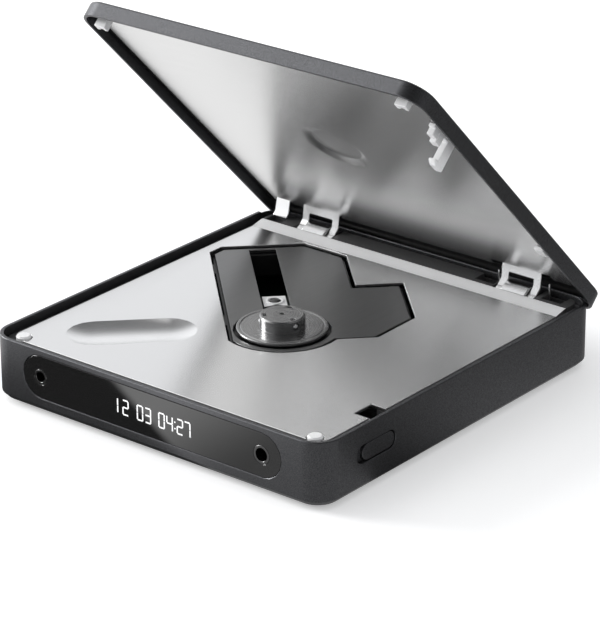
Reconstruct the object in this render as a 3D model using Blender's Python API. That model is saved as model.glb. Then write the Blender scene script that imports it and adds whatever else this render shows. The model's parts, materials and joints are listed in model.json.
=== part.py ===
"""Portable disc player with a hinged lid, modelled piece by piece.

Units are metres and +Z is up. The origin is the middle of the flat underside of the base,
+Y points to the hinge side and the lid stands open, as it does when a disc is put in.
"""

import math

import bmesh
import bpy
from mathutils import Matrix, Vector

# Overall sizes
WIDTH = 0.137
DEPTH = 0.144
CORNER_RADIUS = 0.0085
WALL_HEIGHT = 0.0198
FOOT_CHAMFER = 0.0019
SEAM = 0.0006
LID_THICKNESS = 0.0054
OPEN_ANGLE = math.radians(45.5)
RIM = FOOT_CHAMFER + WALL_HEIGHT

# Clearances and counts
FIT = 0.0003
RUNNING_FIT = 0.00006
OVERRUN = 0.001
SMALLEST_RADIUS = 0.0005
CORNER_STEPS = 8
ROUND_STEPS = 24
SMALL_STEPS = 12
EDGE_ANGLE = math.radians(35)

# Shells
BASE_WALL = 0.0013
FLOOR = 0.0015
LID_WALL = 0.0011
LID_SKIN = 0.0008
LID_EDGE = 0.0005
REAR_DROP = 0.00057
SWING_CHAMFER_WIDE = 0.0006
SWING_CHAMFER_HIGH = 0.0008

# Hinge
HINGE_INSET = 0.007
HINGE_DROP = 0.00496
HINGE_SIDE = 0.02605
HINGE_X = WIDTH / 2 - HINGE_SIDE
PIN_RADIUS = 0.001
BARREL_RADIUS = 0.0024
EYE_RADIUS = 0.00435
DOME_RADIUS = 0.0057
KNUCKLE_LENGTH = 0.0094
ARM_WIDTH = 0.0029
ARM_GAP = 0.0003
STRAP_HALF = KNUCKLE_LENGTH / 2 + ARM_GAP + ARM_WIDTH
STRAP_THICK = 0.0007
STRAP_TAIL = 0.0030
STRAP_ELBOW_RISE = 0.0006
STRAP_WINDOW_DROP = 0.0014
EYE_END = math.radians(195)
BARREL_START = math.radians(225)
BARREL_END = math.radians(450)
NOTCH_LENGTH = 0.0167
KNUCKLE_DROP = 0.00354
PIN_TAIL = 0.0015

# Lid springs on the right hinge pin
SPRING_WIRE = 0.0003
SPRING_RADIUS = 0.00172
SPRING_LENGTH = 0.0066
SPRING_CURLS = 6.25
SPRING_STEPS = 9
SPRING_POCKET = 0.0078
SPRING_INNER_REACH = 0.01285
SPRING_OUTER_REACH = 0.01425
SPRING_CENTRES = (HINGE_X - SPRING_INNER_REACH, HINGE_X + SPRING_OUTER_REACH)
SPRING_LID_LEG = 0.0080
SPRING_BASE_LEG = 0.0018

# Deck
DECK_DROP = 0.0018
DECK_TOP = RIM - DECK_DROP
DECK_THICK = 0.001
DECK_SIDE = 0.0043
DECK_WIDTH = WIDTH - 2 * DECK_SIDE
DECK_FRONT_EDGE = 0.005
DECK_FRONT = DECK_FRONT_EDGE - DEPTH / 2
DECK_CORNER = 0.005
DECK_REAR_EDGE = 0.0112
DECK_REAR = DEPTH / 2 - DECK_REAR_EDGE
RAMP_RUN = 0.0058
RAMP_LIP = 0.001
RAMP_START = DECK_REAR - RAMP_RUN
RAMP_CREST = DECK_REAR - RAMP_LIP
LEDGE_DROP = 0.0008
LEDGE_TOP = RIM - LEDGE_DROP
BUMPER_SIDE = 0.0042
BUMPER_X = DECK_WIDTH / 2 - BUMPER_SIDE
BUMPER_FRONT = 0.0023
BUMPER_Y = DECK_FRONT + BUMPER_FRONT
BUMPER_RADIUS = 0.0025
BUMPER_PROUD = 0.0009
BUMPER_TOP = DECK_TOP + BUMPER_PROUD
SCALLOP_SHARES = (-0.26204, -0.27535)
SCALLOP_CENTRE = (SCALLOP_SHARES[0] * WIDTH, SCALLOP_SHARES[1] * DEPTH)
SCALLOP_LENGTH = 0.0427
SCALLOP_WIDTH = 0.0192
SCALLOP_DEPTH = 0.0016
SCALLOP_ANGLE = math.radians(45)
SCALLOP_WALL = 0.0008
HOOK_SLOT_SIDE = 0.010
HOOK_SLOT_X = WIDTH / 2 - HOOK_SLOT_SIDE
HOOK_SLOT_FRONT = 0.0324
HOOK_SLOT_Y = HOOK_SLOT_FRONT - DEPTH / 2
HOOK_SLOT_LENGTH = 0.0086

# Inner frame under the deck
FRAME_SHELF = 0.008
FRAME_OPENING_WIDTH = WIDTH - 2 * FRAME_SHELF
FRAME_FRONT_SHELF = 0.0115
FRAME_OPENING_FRONT = FRAME_FRONT_SHELF - DEPTH / 2
FRAME_REAR_SHELF = 0.012
FRAME_OPENING_REAR = DEPTH / 2 - FRAME_REAR_SHELF
LEDGE_REAR_EDGE = 0.0035
LEDGE_REAR = DEPTH / 2 - LEDGE_REAR_EDGE
LEDGE_CORNER = 0.004
LEDGE_POCKET_FLOOR = RIM - HINGE_DROP - KNUCKLE_DROP - FIT
GUARD_SIDE = 0.0088
GUARD_X = GUARD_SIDE - WIDTH / 2
GUARD_LENGTH = 0.0060
GUARD_DROP = 0.0013
GUARD_POCKET_REAR = 0.001

# Mechanism, set out along the pickup's travel from the spindle axis
SPINDLE_Y = -0.007
MECH_TURN = math.radians(135)
TABLE_RADIUS = 0.015
COVER_HOLE_GAP = 0.001
COVER_HOLE = TABLE_RADIUS + COVER_HOLE_GAP
COVER_GAP = 0.0017
COVER_RIM = 0.0023
MECH_ARC = COVER_HOLE + COVER_RIM + COVER_GAP
MECH_SIDE_SHARE = 0.91
MECH_SIDE = MECH_SIDE_SHARE * MECH_ARC
MECH_END_CHAMFER = 0.0044
MECH_FLANK = 0.0277
MECH_SIDE_GAP = 0.00854
MECH_REAR_GAP = 0.01805
MECH_FLANK_CHAMFER = 0.0126
MECH_REACH_X = (WIDTH / 2 - MECH_SIDE_GAP) * math.sqrt(2) - MECH_SIDE + MECH_END_CHAMFER
MECH_REACH_Y = (DEPTH / 2 - MECH_REAR_GAP - SPINDLE_Y) * math.sqrt(2) - MECH_FLANK + MECH_FLANK_CHAMFER
MECH_END = min(MECH_REACH_X, MECH_REACH_Y)
MECH_STEP_SHARE = 0.459
MECH_STEP = MECH_STEP_SHARE * MECH_END
MECH_WING = 0.0438
MECH_WING_START = 0.0031
MECH_WING_CHAMFER = 0.0140
MECH_NECK = 0.0112
COVER_DROP = 0.0005
COVER_TOP = DECK_TOP - COVER_DROP
COVER_THICK = 0.001
SLOT_WIDTH = 0.0092
SLOT_RIM = 0.0015
CHASSIS_GAP = 0.0008
CHASSIS_DROP = 0.0013
CHASSIS_TOP = COVER_TOP - CHASSIS_DROP
CHASSIS_THICK = 0.0015
CHASSIS_SLOT = 0.0106

# Turntable
TABLE_RISE = 0.00124
TABLE_TOP = COVER_TOP + TABLE_RISE
TABLE_THICK = 0.00144
TABLE_GROOVE = 0.0005
TABLE_GROOVE_EDGE = 0.0013
TABLE_GROOVE_RADIUS = TABLE_RADIUS - TABLE_GROOVE_EDGE
HUB_RADIUS = 0.0075
HUB_HEIGHT = 0.0041
HUB_EDGE = 0.0005
HUB_BORE = 0.0008
HUB_BORE_DEPTH = 0.001
TABLE_BOSS = 0.0034
SHAFT_RADIUS = 0.001
BALL_RADIUS = 0.0011
BALL_POCKET = 0.00125
BALL_PROUD = 0.0003
BALL_DROP = 0.0021
BALL_ANGLES = (-14, 106, 226)
BALL_BED = 0.0035
MARK_WIDE = 0.002
MARK_LONG = 0.0012
MARK_DEEP = 0.0005

# Spindle motor, pickup sled and its drive
MOTOR_RADIUS = 0.0095
MOTOR_DROP = 0.0081
MOTOR_BOTTOM = CHASSIS_TOP - MOTOR_DROP
MOTOR_CAP = 0.0035
ROD_RADIUS = 0.00125
ROD_SPREAD = 0.0115
ROD_DROP = 0.0053
ROD_HEIGHT = CHASSIS_TOP - ROD_DROP
BOSS_DROP = 0.0023
BOSS_BOTTOM = ROD_HEIGHT - BOSS_DROP
ROD_START = 0.0124
ROD_BOSS = 0.0030
ROD_BOSS_HALF = 0.0024
ROD_END_GAP = 0.0017
ROD_FAR = MECH_END - ROD_END_GAP
RAIL_WIDTH = 0.0015
SLED_START = 0.0166
SLED_LENGTH = 0.017
SLED_HALF = 0.0138
SLED_BELOW = 0.0032
SLED_BOTTOM = ROD_HEIGHT - SLED_BELOW
SLED_ABOVE = 0.0034
SLED_TOP = ROD_HEIGHT + SLED_ABOVE
LENS_U = 0.025
HOLDER_LENGTH = 0.0086
HOLDER_WIDTH = 0.0078
HOLDER_THICK = 0.0017
LENS_RING = 0.003
LENS_RING_HEIGHT = 0.0004
LENS_RADIUS = 0.0021
LENS_SEAT = 0.0008
LENS_DOME = 0.0006
SCREW_V = 0.018
SCREW_RADIUS = 0.0011
SCREW_START = 0.0156
NUT_LENGTH = 0.006
NUT_HEIGHT = 0.004
SLED_MOTOR_RADIUS = 0.0036
SLED_MOTOR_LENGTH = 0.013
DAMPER_RADIUS = 0.0031
DAMPER_WAIST = 0.0023
DAMPER_HEIGHT = 0.0030
FAR_DAMPER_GAP = 0.015
FAR_DAMPER_ROOM = 0.0008
NEAR_DAMPER_ROOM = 0.0013
RAIL_OUTER = SLED_HALF + FIT + RAIL_WIDTH
NEAR_DAMPER_U = 0.012
WING_DAMPER = (0.028, -0.036)
DAMPER_UV = (
    (MECH_END - FAR_DAMPER_GAP, RAIL_OUTER + DAMPER_RADIUS + FAR_DAMPER_ROOM),
    (NEAR_DAMPER_U, RAIL_OUTER + DAMPER_RADIUS + NEAR_DAMPER_ROOM),
    WING_DAMPER,
)
LUG_RADIUS = 0.0040
POST_RADIUS = 0.0021

# Front panel, its sockets and the display
WINDOW_X = -0.0005
WINDOW_SIDE = 0.0153
WINDOW_LENGTH = WIDTH - 2 * WINDOW_SIDE
WINDOW_LOW_EDGE = 0.0029
WINDOW_HIGH_EDGE = 0.0019
WINDOW_HEIGHT = WALL_HEIGHT - WINDOW_LOW_EDGE - WINDOW_HIGH_EDGE
WINDOW_Z = FOOT_CHAMFER + WINDOW_LOW_EDGE + WINDOW_HEIGHT / 2
WINDOW_FIT = 0.00012
WINDOW_THICK = 0.0011
WINDOW_SINK = 0.0001
SMALL_JACK_END = 0.0074
SMALL_JACK_X = WINDOW_X - WINDOW_LENGTH / 2 + SMALL_JACK_END
LARGE_JACK_END = 0.0079
LARGE_JACK_X = WINDOW_X + WINDOW_LENGTH / 2 - LARGE_JACK_END
SMALL_RING = 0.0026
SMALL_BORE = 0.0018
LARGE_RING = 0.0031
LARGE_BORE = 0.00225
JACK_DEPTH = 0.0125
JACK_HALF_WIDTH = 0.0044
JACK_HALF_HEIGHT = 0.0034
JACK_BORE_DEPTH = 0.0115
FRAME_BOTTOM = WINDOW_Z + JACK_HALF_HEIGHT + FIT
DISPLAY_END = 0.0132
DISPLAY_WIDTH = WINDOW_LENGTH - 2 * DISPLAY_END
DISPLAY_HEIGHT = 0.0100
DISPLAY_THICK = 0.0016

# Circuit board's height
STANDOFF_HEIGHT = 0.0013
BOARD_THICK = 0.001
BOARD_BOTTOM = FLOOR + STANDOFF_HEIGHT + FIT
BOARD_TOP = BOARD_BOTTOM + BOARD_THICK

# Rear sockets, switches and antenna cover
REAR_JACK_SHARES = (0.3584, 0.2562)
REAR_LARGE_X = REAR_JACK_SHARES[0] * WIDTH
REAR_SMALL_X = REAR_JACK_SHARES[1] * WIDTH
REAR_JACK_Z = BOARD_TOP + FIT + JACK_HALF_HEIGHT
LEDGE_GAP = 0.0004
LEDGE_BOTTOM = REAR_JACK_Z + JACK_HALF_HEIGHT + LEDGE_GAP
USB_SHARES = (0.1460, -0.0511)
USB_CENTRES = tuple(share * WIDTH for share in USB_SHARES)
USB_RISE = 0.0027
USB_Z = BOARD_TOP + USB_RISE
USB_LENGTH = 0.0090
USB_HEIGHT = 0.0034
USB_WALL = 0.00035
USB_DEPTH = 0.0075
USB_BACK = 0.0010
TONGUE_LENGTH = 0.0062
TONGUE_THICK = 0.0007
TONGUE_DEPTH = 0.0050
SWITCH_SHARES = (0.0489, -0.1489)
SWITCH_CENTRES = tuple(share * WIDTH for share in SWITCH_SHARES)
SWITCH_RISE = 0.0029
SWITCH_Z = BOARD_TOP + SWITCH_RISE
SWITCH_LENGTH = 0.0055
SWITCH_HEIGHT = 0.0041
SWITCH_BODY_WIDTH = 0.0084
SWITCH_BODY_DEPTH = 0.0036
SWITCH_SET_BACK = 0.0012
KNOB_RADIUS = 0.0018
KNOB_SINK = 0.0003
KNOB_SHIFT = 0.0007
ANTENNA_SHARES = (-0.4328, -0.1985)
ANTENNA_LEFT = ANTENNA_SHARES[0] * WIDTH
ANTENNA_RIGHT = ANTENNA_SHARES[1] * WIDTH
ANTENNA_DROP = 0.0086
ANTENNA_TOP = RIM - ANTENNA_DROP
ANTENNA_DEPTH = 0.0031
ANTENNA_GAP = 0.00015

# Boards, battery and feet
STANDOFF_RADIUS = 0.0022
BOARD_SIDE = 0.0065
BOARD_HALF_WIDTH = WIDTH / 2 - BOARD_SIDE
BOARD_REAR_EDGE = 0.0022
BOARD_REAR = DEPTH / 2 - BOARD_REAR_EDGE
BOARD_DEPTH = 0.0458
BOARD_FRONT = BOARD_REAR - BOARD_DEPTH
BOARD_SCREW_SIDE = 0.0045
BOARD_SCREW_X = BOARD_HALF_WIDTH - BOARD_SCREW_SIDE
BOARD_SCREW_FRONT = 0.010
BOARD_SCREW_Y = BOARD_FRONT + BOARD_SCREW_FRONT
SCREW_HEAD = 0.0018
SCREW_HEAD_HEIGHT = 0.0008
SCREW_SHANK = 0.0009
BATTERY_LEFT = -0.020
BATTERY_SIDE = 0.0165
BATTERY_WIDTH = WIDTH / 2 - BATTERY_SIDE - BATTERY_LEFT
BATTERY_X = BATTERY_LEFT + BATTERY_WIDTH / 2
BATTERY_REAR = -0.0165
BATTERY_FRONT_EDGE = 0.0125
BATTERY_DEPTH = DEPTH / 2 - BATTERY_FRONT_EDGE + BATTERY_REAR
BATTERY_Y = BATTERY_REAR - BATTERY_DEPTH / 2
BATTERY_HEIGHT = 0.0054
BATTERY_EDGE = 0.0012
FOOT_SIDE = 0.0089
FOOT_X = WIDTH / 2 - FOOT_SIDE
FOOT_END = 0.009
FOOT_Y = DEPTH / 2 - FOOT_END
FOOT_RADIUS = 0.00425
FOOT_HEIGHT = 0.0012
FOOT_SEAT = 0.0006
FOOT_DOME = 0.0006

# Lid release
RELEASE_FRONT = 0.02635
RELEASE_Y = RELEASE_FRONT - DEPTH / 2
RELEASE_DROP = 0.0096
RELEASE_Z = RIM - RELEASE_DROP
RELEASE_SLOT_LENGTH = 0.0193
RELEASE_SLOT_HEIGHT = 0.0062
RELEASE_LENGTH = 0.0159
RELEASE_TRAVEL = 0.0024
RELEASE_SINK = 0.0003
FLANGE_LENGTH = 0.0205
FLANGE_THICK = 0.0013
SLIDER_THICK = 0.0013
SLIDER_REACH = 0.0044
CATCH_WIDTH = 0.0041
CATCH_THICK = 0.0011
CATCH_DROP = 0.0015
CATCH_TOP = DECK_TOP - CATCH_DROP
LATCH_SPRING_RADIUS = 0.0011
LATCH_SPRING_WIRE = 0.0002
LATCH_SPRING_CURLS = 5
SPRING_STOP = 0.0012

# Lid pieces
PLATE_RISE = 0.0028
PLATE_THICK = 0.0005
PLATE_REAR_EDGE = 0.0115
PLATE_REAR = DEPTH / 2 - PLATE_REAR_EDGE
PLATE_FRONT_EDGE = 0.005
PLATE_FRONT = PLATE_FRONT_EDGE - DEPTH / 2
PLATE_NOTCH_REACHES = (0.01245, 0.01155)
PLATE_NOTCH_LEFT = HINGE_X - PLATE_NOTCH_REACHES[0]
PLATE_NOTCH_RIGHT = HINGE_X + PLATE_NOTCH_REACHES[1]
PLATE_NOTCH_DEPTH = 0.0032
GUARD_NOTCH_DEPTH = 0.0027
RING_OUTER = 0.012
RING_INNER = 0.009
RING_DEPTH = 0.001
CHANNEL_RISE = 0.0005
CHANNEL_THICK = 0.0009
CHANNEL_SIDE = 0.004
CHANNEL_OPENING_WIDTH = WIDTH - 2 * CHANNEL_SIDE
CHANNEL_FRONT_EDGE = 0.0047
CHANNEL_OPENING_FRONT = CHANNEL_FRONT_EDGE - DEPTH / 2
CHANNEL_REAR_EDGE = 0.011
CHANNEL_OPENING_REAR = DEPTH / 2 - CHANNEL_REAR_EDGE
FRONT_POST_SIDE = 0.0083
FRONT_POST_X = WIDTH / 2 - FRONT_POST_SIDE
FRONT_POST_EDGE = 0.006
FRONT_POST_Y = FRONT_POST_EDGE - DEPTH / 2
FRONT_POST_WIDTH = 0.0044
FRONT_POST_DEPTH = 0.0026
FRONT_POST_NOTCH = 0.0009
HOOK_SIDE = 0.0063
HOOK_X = WIDTH / 2 - HOOK_SIDE
HOOK_THICK = 0.0025
HOOK_ARM_EDGE = 0.035
HOOK_ARM_DEPTH = 0.0042
HOOK_ARM_REAR = HOOK_ARM_EDGE - DEPTH / 2
HOOK_ARM_FRONT = HOOK_ARM_REAR - HOOK_ARM_DEPTH
HOOK_NOSE = 0.0018
HOOK_TIP_DROP = 0.0031
HOOK_TIP = CATCH_TOP - HOOK_TIP_DROP
HOOK_NOSE_HEIGHT = 0.0017
HOOK_BASE_THICK = 0.0012
HOOK_BASE_LENGTH = 0.014
HOOK_BASE_FRONT = HOOK_ARM_REAR - HOOK_BASE_LENGTH
HOOK_BLOCK_PLACES = ((0.010, 0.007), (0.013, 0.0102))
HOOK_BLOCK_RISES = (0.0005, 0.0015)
CLIP_SIDE = 0.006
CLIP_X = WIDTH / 2 - CLIP_SIDE
CLIP_REAR = 0.0387
CLIP_Y = DEPTH / 2 - CLIP_REAR
CLIP_WIDTH = 0.0036
CLIP_DEPTH = 0.0045
CLIP_THICK = 0.0012
KEY_COUNT = 7
KEY_PITCH_SHARE = 0.11606
KEY_PITCH = KEY_PITCH_SHARE * WIDTH
KEY_FRONT = 0.010
KEY_Y = KEY_FRONT - DEPTH / 2
KEY_LENGTH = 0.0075
KEY_WIDTH = 0.0040
KEY_PROUD = 0.0003
KEY_EDGE = 0.0002
KEY_FIT = 0.0002
KEY_MAT_THICK = 0.0006
KEY_MAT_EDGE = 0.0015
KEY_MAT_GAP = 0.0003

# Places worked out from the sizes above
REAR_RIM = RIM - REAR_DROP
LID_BOTTOM = RIM + SEAM
LID_TOP = LID_BOTTOM + LID_THICKNESS
HINGE = Vector((0.0, DEPTH / 2 - HINGE_INSET, RIM - HINGE_DROP))
SPINDLE = Vector((0.0, SPINDLE_Y, 0.0))
PLATE_BOTTOM = LID_BOTTOM + PLATE_RISE
DECK_BOTTOM = DECK_TOP - DECK_THICK
FRAME_TOP = DECK_BOTTOM - FIT
CHASSIS_BOTTOM = CHASSIS_TOP - CHASSIS_THICK
WALL_FACE_X = WIDTH / 2 - BASE_WALL
WALL_FACE_Y = DEPTH / 2 - BASE_WALL
ORIGIN = Vector((0.0, 0.0, 0.0))

# Finishes: colour, roughness, metallic
FINISHES = {
    "anodised": ((0.055, 0.057, 0.062), 0.45, 0.9),
    "satin_steel": ((0.62, 0.63, 0.65), 0.30, 1.0),
    "dark_satin": ((0.12, 0.12, 0.13), 0.35, 0.9),
    "black_plastic": ((0.012, 0.012, 0.013), 0.5, 0.0),
    "bright_metal": ((0.80, 0.80, 0.81), 0.22, 1.0),
    "white_plastic": ((0.85, 0.85, 0.85), 0.4, 0.0),
    "black_glass": ((0.010, 0.010, 0.012), 0.08, 0.0),
    "grey_rubber": ((0.25, 0.25, 0.26), 0.7, 0.0),
    "board": ((0.01, 0.06, 0.03), 0.5, 0.0),
    "copper_foil": ((0.30, 0.31, 0.33), 0.4, 0.3),
    "lens_glass": ((0.25, 0.22, 0.40), 0.05, 0.0),
}


def clear_scene():
    for item in list(bpy.data.objects):
        bpy.data.objects.remove(item, do_unlink=True)


def finish(name):
    material = bpy.data.materials.get(name)
    if material is None:
        colour, roughness, metallic = FINISHES[name]
        material = bpy.data.materials.new(name)
        material.use_nodes = True
        shader = material.node_tree.nodes["Principled BSDF"]
        shader.inputs["Base Color"].default_value = (*colour, 1.0)
        shader.inputs["Roughness"].default_value = roughness
        shader.inputs["Metallic"].default_value = metallic
    return material


# Outlines, all anticlockwise

def arc(centre, radius, start, end, steps):
    points = []
    for step in range(steps + 1):
        angle = start + (end - start) * step / steps
        points.append((centre[0] + radius * math.cos(angle), centre[1] + radius * math.sin(angle)))
    return points


def circle(radius, centre=(0.0, 0.0), steps=ROUND_STEPS):
    return arc(centre, radius, 0.0, 2 * math.pi, steps)[:-1]


def rounded_rect(width, depth, radius, inset=0.0, centre=(0.0, 0.0), steps=CORNER_STEPS):
    turn = max(radius - inset, SMALLEST_RADIUS)
    reach_x = width / 2 - inset - turn
    reach_y = depth / 2 - inset - turn
    points = []
    for corner, (side_x, side_y) in enumerate(((1, 1), (-1, 1), (-1, -1), (1, -1))):
        middle = (centre[0] + side_x * reach_x, centre[1] + side_y * reach_y)
        start = corner * math.pi / 2
        points.extend(arc(middle, turn, start, start + math.pi / 2, steps))
    return points


def rectangle(low, high):
    return [low, (high[0], low[1]), high, (low[0], high[1])]


def pill(length, height, centre=(0.0, 0.0), steps=CORNER_STEPS):
    half = (length - height) / 2
    right = arc((centre[0] + half, centre[1]), height / 2, -math.pi / 2, math.pi / 2, steps)
    left = arc((centre[0] - half, centre[1]), height / 2, math.pi / 2, 3 * math.pi / 2, steps)
    return right + left


def body_outline(inset=0.0):
    return rounded_rect(WIDTH, DEPTH, CORNER_RADIUS, inset)


def shrink(points, distance):
    """Move every edge of an outline inwards and meet the neighbours again."""
    moved = []
    count = len(points)
    for index in range(count):
        before = Vector(points[index - 1])
        here = Vector(points[index])
        after = Vector(points[(index + 1) % count])
        first = (here - before).normalized()
        second = (after - here).normalized()
        first_in = Vector((-first.y, first.x))
        second_in = Vector((-second.y, second.x))
        share = 1.0 + first_in.dot(second_in)
        moved.append(tuple(here + (first_in + second_in) * (distance / share)))
    return moved


# Solids

def along_z(a, b, height):
    return (a, b, height)


def along_y(a, b, height):
    return (a, height, b)


def along_x(a, b, height):
    return (height, a, b)


def loft(mesh, rings, close_rings=True, join_ends=False):
    """Skin a list of rings that have equal numbers of points."""
    rows = [[mesh.verts.new(point) for point in ring] for ring in rings]
    pairs = list(zip(rows, rows[1:]))
    if join_ends:
        pairs.append((rows[-1], rows[0]))
    count = len(rows[0])
    faces = []
    for lower, upper in pairs:
        for index in range(count if close_rings else count - 1):
            after = (index + 1) % count
            faces.append(mesh.faces.new((lower[index], lower[after], upper[after], upper[index])))
    if close_rings and not join_ends:
        faces.append(mesh.faces.new(rows[0]))
        faces.append(mesh.faces.new(rows[-1]))
    if join_ends and not close_rings:
        faces.append(mesh.faces.new([row[0] for row in rows]))
        faces.append(mesh.faces.new([row[-1] for row in rows]))
    bmesh.ops.recalc_face_normals(mesh, faces=faces)


def prism(mesh, outline, low, high, place=along_z):
    loft(mesh, [[place(a, b, level) for a, b in outline] for level in (low, high)])


def block(mesh, low, high):
    prism(mesh, rectangle(low[:2], high[:2]), low[2], high[2])


def turned(mesh, profile, centre=(0.0, 0.0), place=along_z, steps=ROUND_STEPS):
    """Turn a profile of (radius, height) pairs; a zero radius at either end closes on the axis."""
    rings = []
    for radius, height in profile:
        ring = circle(max(radius, 0.0), centre, steps)
        rings.append([place(a, b, height) for a, b in ring])
    loft(mesh, rings)


def new_object(name, data, parent, origin):
    item = bpy.data.objects.new(name, data)
    bpy.context.scene.collection.objects.link(item)
    if parent is None:
        item.location = origin
    else:
        item.parent = parent
        item.location = origin - Vector(parent["centre"])
    return item


def piece(name, mesh, look, parent=None, origin=ORIGIN):
    """Turn a bmesh into a named object whose own origin lies at the given point."""
    bmesh.ops.translate(mesh, verts=mesh.verts, vec=-origin)
    data = bpy.data.meshes.new(name)
    mesh.to_mesh(data)
    mesh.free()
    data.materials.append(finish(look))
    data.shade_smooth()
    data.set_sharp_from_angle(angle=EDGE_ANGLE)
    return new_object(name, data, parent, origin)


def helper(name, mesh, parent=None, origin=ORIGIN):
    item = piece(name, mesh, "anodised", parent, origin)
    item.hide_render = True
    item.display_type = "WIRE"
    return item


def combine(target, tool, operation):
    change = target.modifiers.new(operation.lower() + "_" + tool.name, "BOOLEAN")
    change.operation = operation
    change.solver = "EXACT"
    change.object = tool


def cut(target, tool):
    combine(target, tool, "DIFFERENCE")


def add(target, tool):
    combine(target, tool, "UNION")


def pivot(name, centre, turn, axis):
    item = bpy.data.objects.new(name, None)
    bpy.context.scene.collection.objects.link(item)
    item.rotation_euler = (turn, 0.0, 0.0) if axis == "X" else (0.0, 0.0, turn)
    item.location = centre
    return item


# Base shell

def base_shell():
    mesh = bmesh.new()
    outer_bottom = [(x, y, 0.0) for x, y in body_outline(FOOT_CHAMFER)]
    outer_edge = [(x, y, FOOT_CHAMFER) for x, y in body_outline()]
    outer_top = [(x, y, RIM) for x, y in body_outline()]
    inner_top = [(x, y, RIM) for x, y in body_outline(BASE_WALL)]
    inner_bottom = [(x, y, FLOOR) for x, y in body_outline(BASE_WALL)]
    loft(mesh, [outer_bottom, outer_edge, outer_top, inner_top, inner_bottom])
    shell = piece("base_shell", mesh, "anodised")
    add(shell, base_posts())
    cut(shell, rear_rim_cutter())
    cut(shell, front_cutter())
    cut(shell, rear_cutter())
    cut(shell, release_cutter())
    cut(shell, foot_cutter())
    cut(shell, board_screw_cutter("standoff_bores", FLOOR, SCREW_SHANK + FIT / 2))
    return shell


def damper_places():
    """Damper centres in the row's own X and Y."""
    turn = Matrix.Rotation(MECH_TURN, 3, "Z")
    return [(SPINDLE + turn @ Vector((u, v, 0.0))).to_2d() for u, v in DAMPER_UV]


def base_posts():
    mesh = bmesh.new()
    post_top = CHASSIS_BOTTOM - DAMPER_HEIGHT - 2 * FIT
    for x, y in damper_places():
        prism(mesh, circle(POST_RADIUS, (x, y), SMALL_STEPS), FLOOR - FIT, post_top)
    for x, y in board_screw_places():
        prism(mesh, circle(STANDOFF_RADIUS, (x, y), SMALL_STEPS), FLOOR - FIT, FLOOR + STANDOFF_HEIGHT)
    return helper("base_posts", mesh)


def rear_rim_cutter():
    """Lowers the rim behind the rear corners and slopes its outer edge for the lid's swing."""
    mesh = bmesh.new()
    slope = SWING_CHAMFER_HIGH / SWING_CHAMFER_WIDE
    section = (
        (-OVERRUN, REAR_RIM - SWING_CHAMFER_HIGH - OVERRUN * slope),
        (SWING_CHAMFER_WIDE, REAR_RIM),
        (BASE_WALL + OVERRUN, REAR_RIM),
        (BASE_WALL + OVERRUN, RIM + OVERRUN),
        (-OVERRUN, RIM + OVERRUN),
    )
    half = 2 * (CORNER_STEPS + 1)
    rings = []
    for inset, height in section:
        rings.append([(x, y, height) for x, y in body_outline(inset)[:half]])
    loft(mesh, rings, close_rings=False, join_ends=True)
    return helper("rear_rim_cutter", mesh)


def front_cutter():
    mesh = bmesh.new()
    outline = pill(WINDOW_LENGTH, WINDOW_HEIGHT, (WINDOW_X, WINDOW_Z))
    prism(mesh, outline, -DEPTH / 2 - OVERRUN, -WALL_FACE_Y + OVERRUN, along_y)
    return helper("front_cutter", mesh)


def rear_cutter():
    """All the openings in the rear wall."""
    mesh = bmesh.new()
    reach = (WALL_FACE_Y - OVERRUN, DEPTH / 2 + OVERRUN)
    for x, ring in ((REAR_LARGE_X, LARGE_RING), (REAR_SMALL_X, SMALL_RING)):
        prism(mesh, circle(ring + WINDOW_FIT, (x, REAR_JACK_Z)), *reach, along_y)
    for x in USB_CENTRES:
        outline = pill(USB_LENGTH + FIT, USB_HEIGHT + FIT, (x, USB_Z))
        prism(mesh, outline, *reach, along_y)
    for x in SWITCH_CENTRES:
        prism(mesh, pill(SWITCH_LENGTH, SWITCH_HEIGHT, (x, SWITCH_Z)), *reach, along_y)
    block(
        mesh,
        (ANTENNA_LEFT, DEPTH / 2 - ANTENNA_DEPTH - ANTENNA_GAP, -OVERRUN),
        (ANTENNA_RIGHT, DEPTH / 2 + OVERRUN, ANTENNA_TOP),
    )
    return helper("rear_cutter", mesh)


def release_cutter():
    mesh = bmesh.new()
    outline = pill(RELEASE_SLOT_LENGTH, RELEASE_SLOT_HEIGHT, (RELEASE_Y, RELEASE_Z))
    prism(mesh, outline, WALL_FACE_X - OVERRUN, WIDTH / 2 + OVERRUN, along_x)
    return helper("release_cutter", mesh)


def foot_places():
    return [(side * FOOT_X, end * FOOT_Y) for side in (-1, 1) for end in (-1, 1)]


def foot_cutter():
    mesh = bmesh.new()
    for centre in foot_places():
        prism(mesh, circle(FOOT_RADIUS + FIT, centre), -OVERRUN, FOOT_SEAT)
    return helper("foot_cutter", mesh)


def rubber_foot(name, centre):
    mesh = bmesh.new()
    profile = (
        (FOOT_RADIUS - FOOT_DOME, -FOOT_HEIGHT),
        (FOOT_RADIUS, FOOT_DOME - FOOT_HEIGHT),
        (FOOT_RADIUS, FOOT_SEAT - FIT),
    )
    turned(mesh, profile, centre)
    return piece(name, mesh, "grey_rubber")


def antenna_cover():
    mesh = bmesh.new()
    front = DEPTH / 2 - ANTENNA_DEPTH
    top = ANTENNA_TOP - ANTENNA_GAP
    profile = [
        (DEPTH / 2, top),
        (WALL_FACE_Y, top),
        (WALL_FACE_Y, FLOOR),
        (front, FLOOR),
        (front, 0.0),
        (DEPTH / 2 - FOOT_CHAMFER, 0.0),
        (DEPTH / 2, FOOT_CHAMFER),
    ]
    prism(mesh, profile, ANTENNA_LEFT + ANTENNA_GAP, ANTENNA_RIGHT - ANTENNA_GAP, along_x)
    return piece("antenna_cover", mesh, "black_plastic")


# Deck and the frame that carries it

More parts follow.
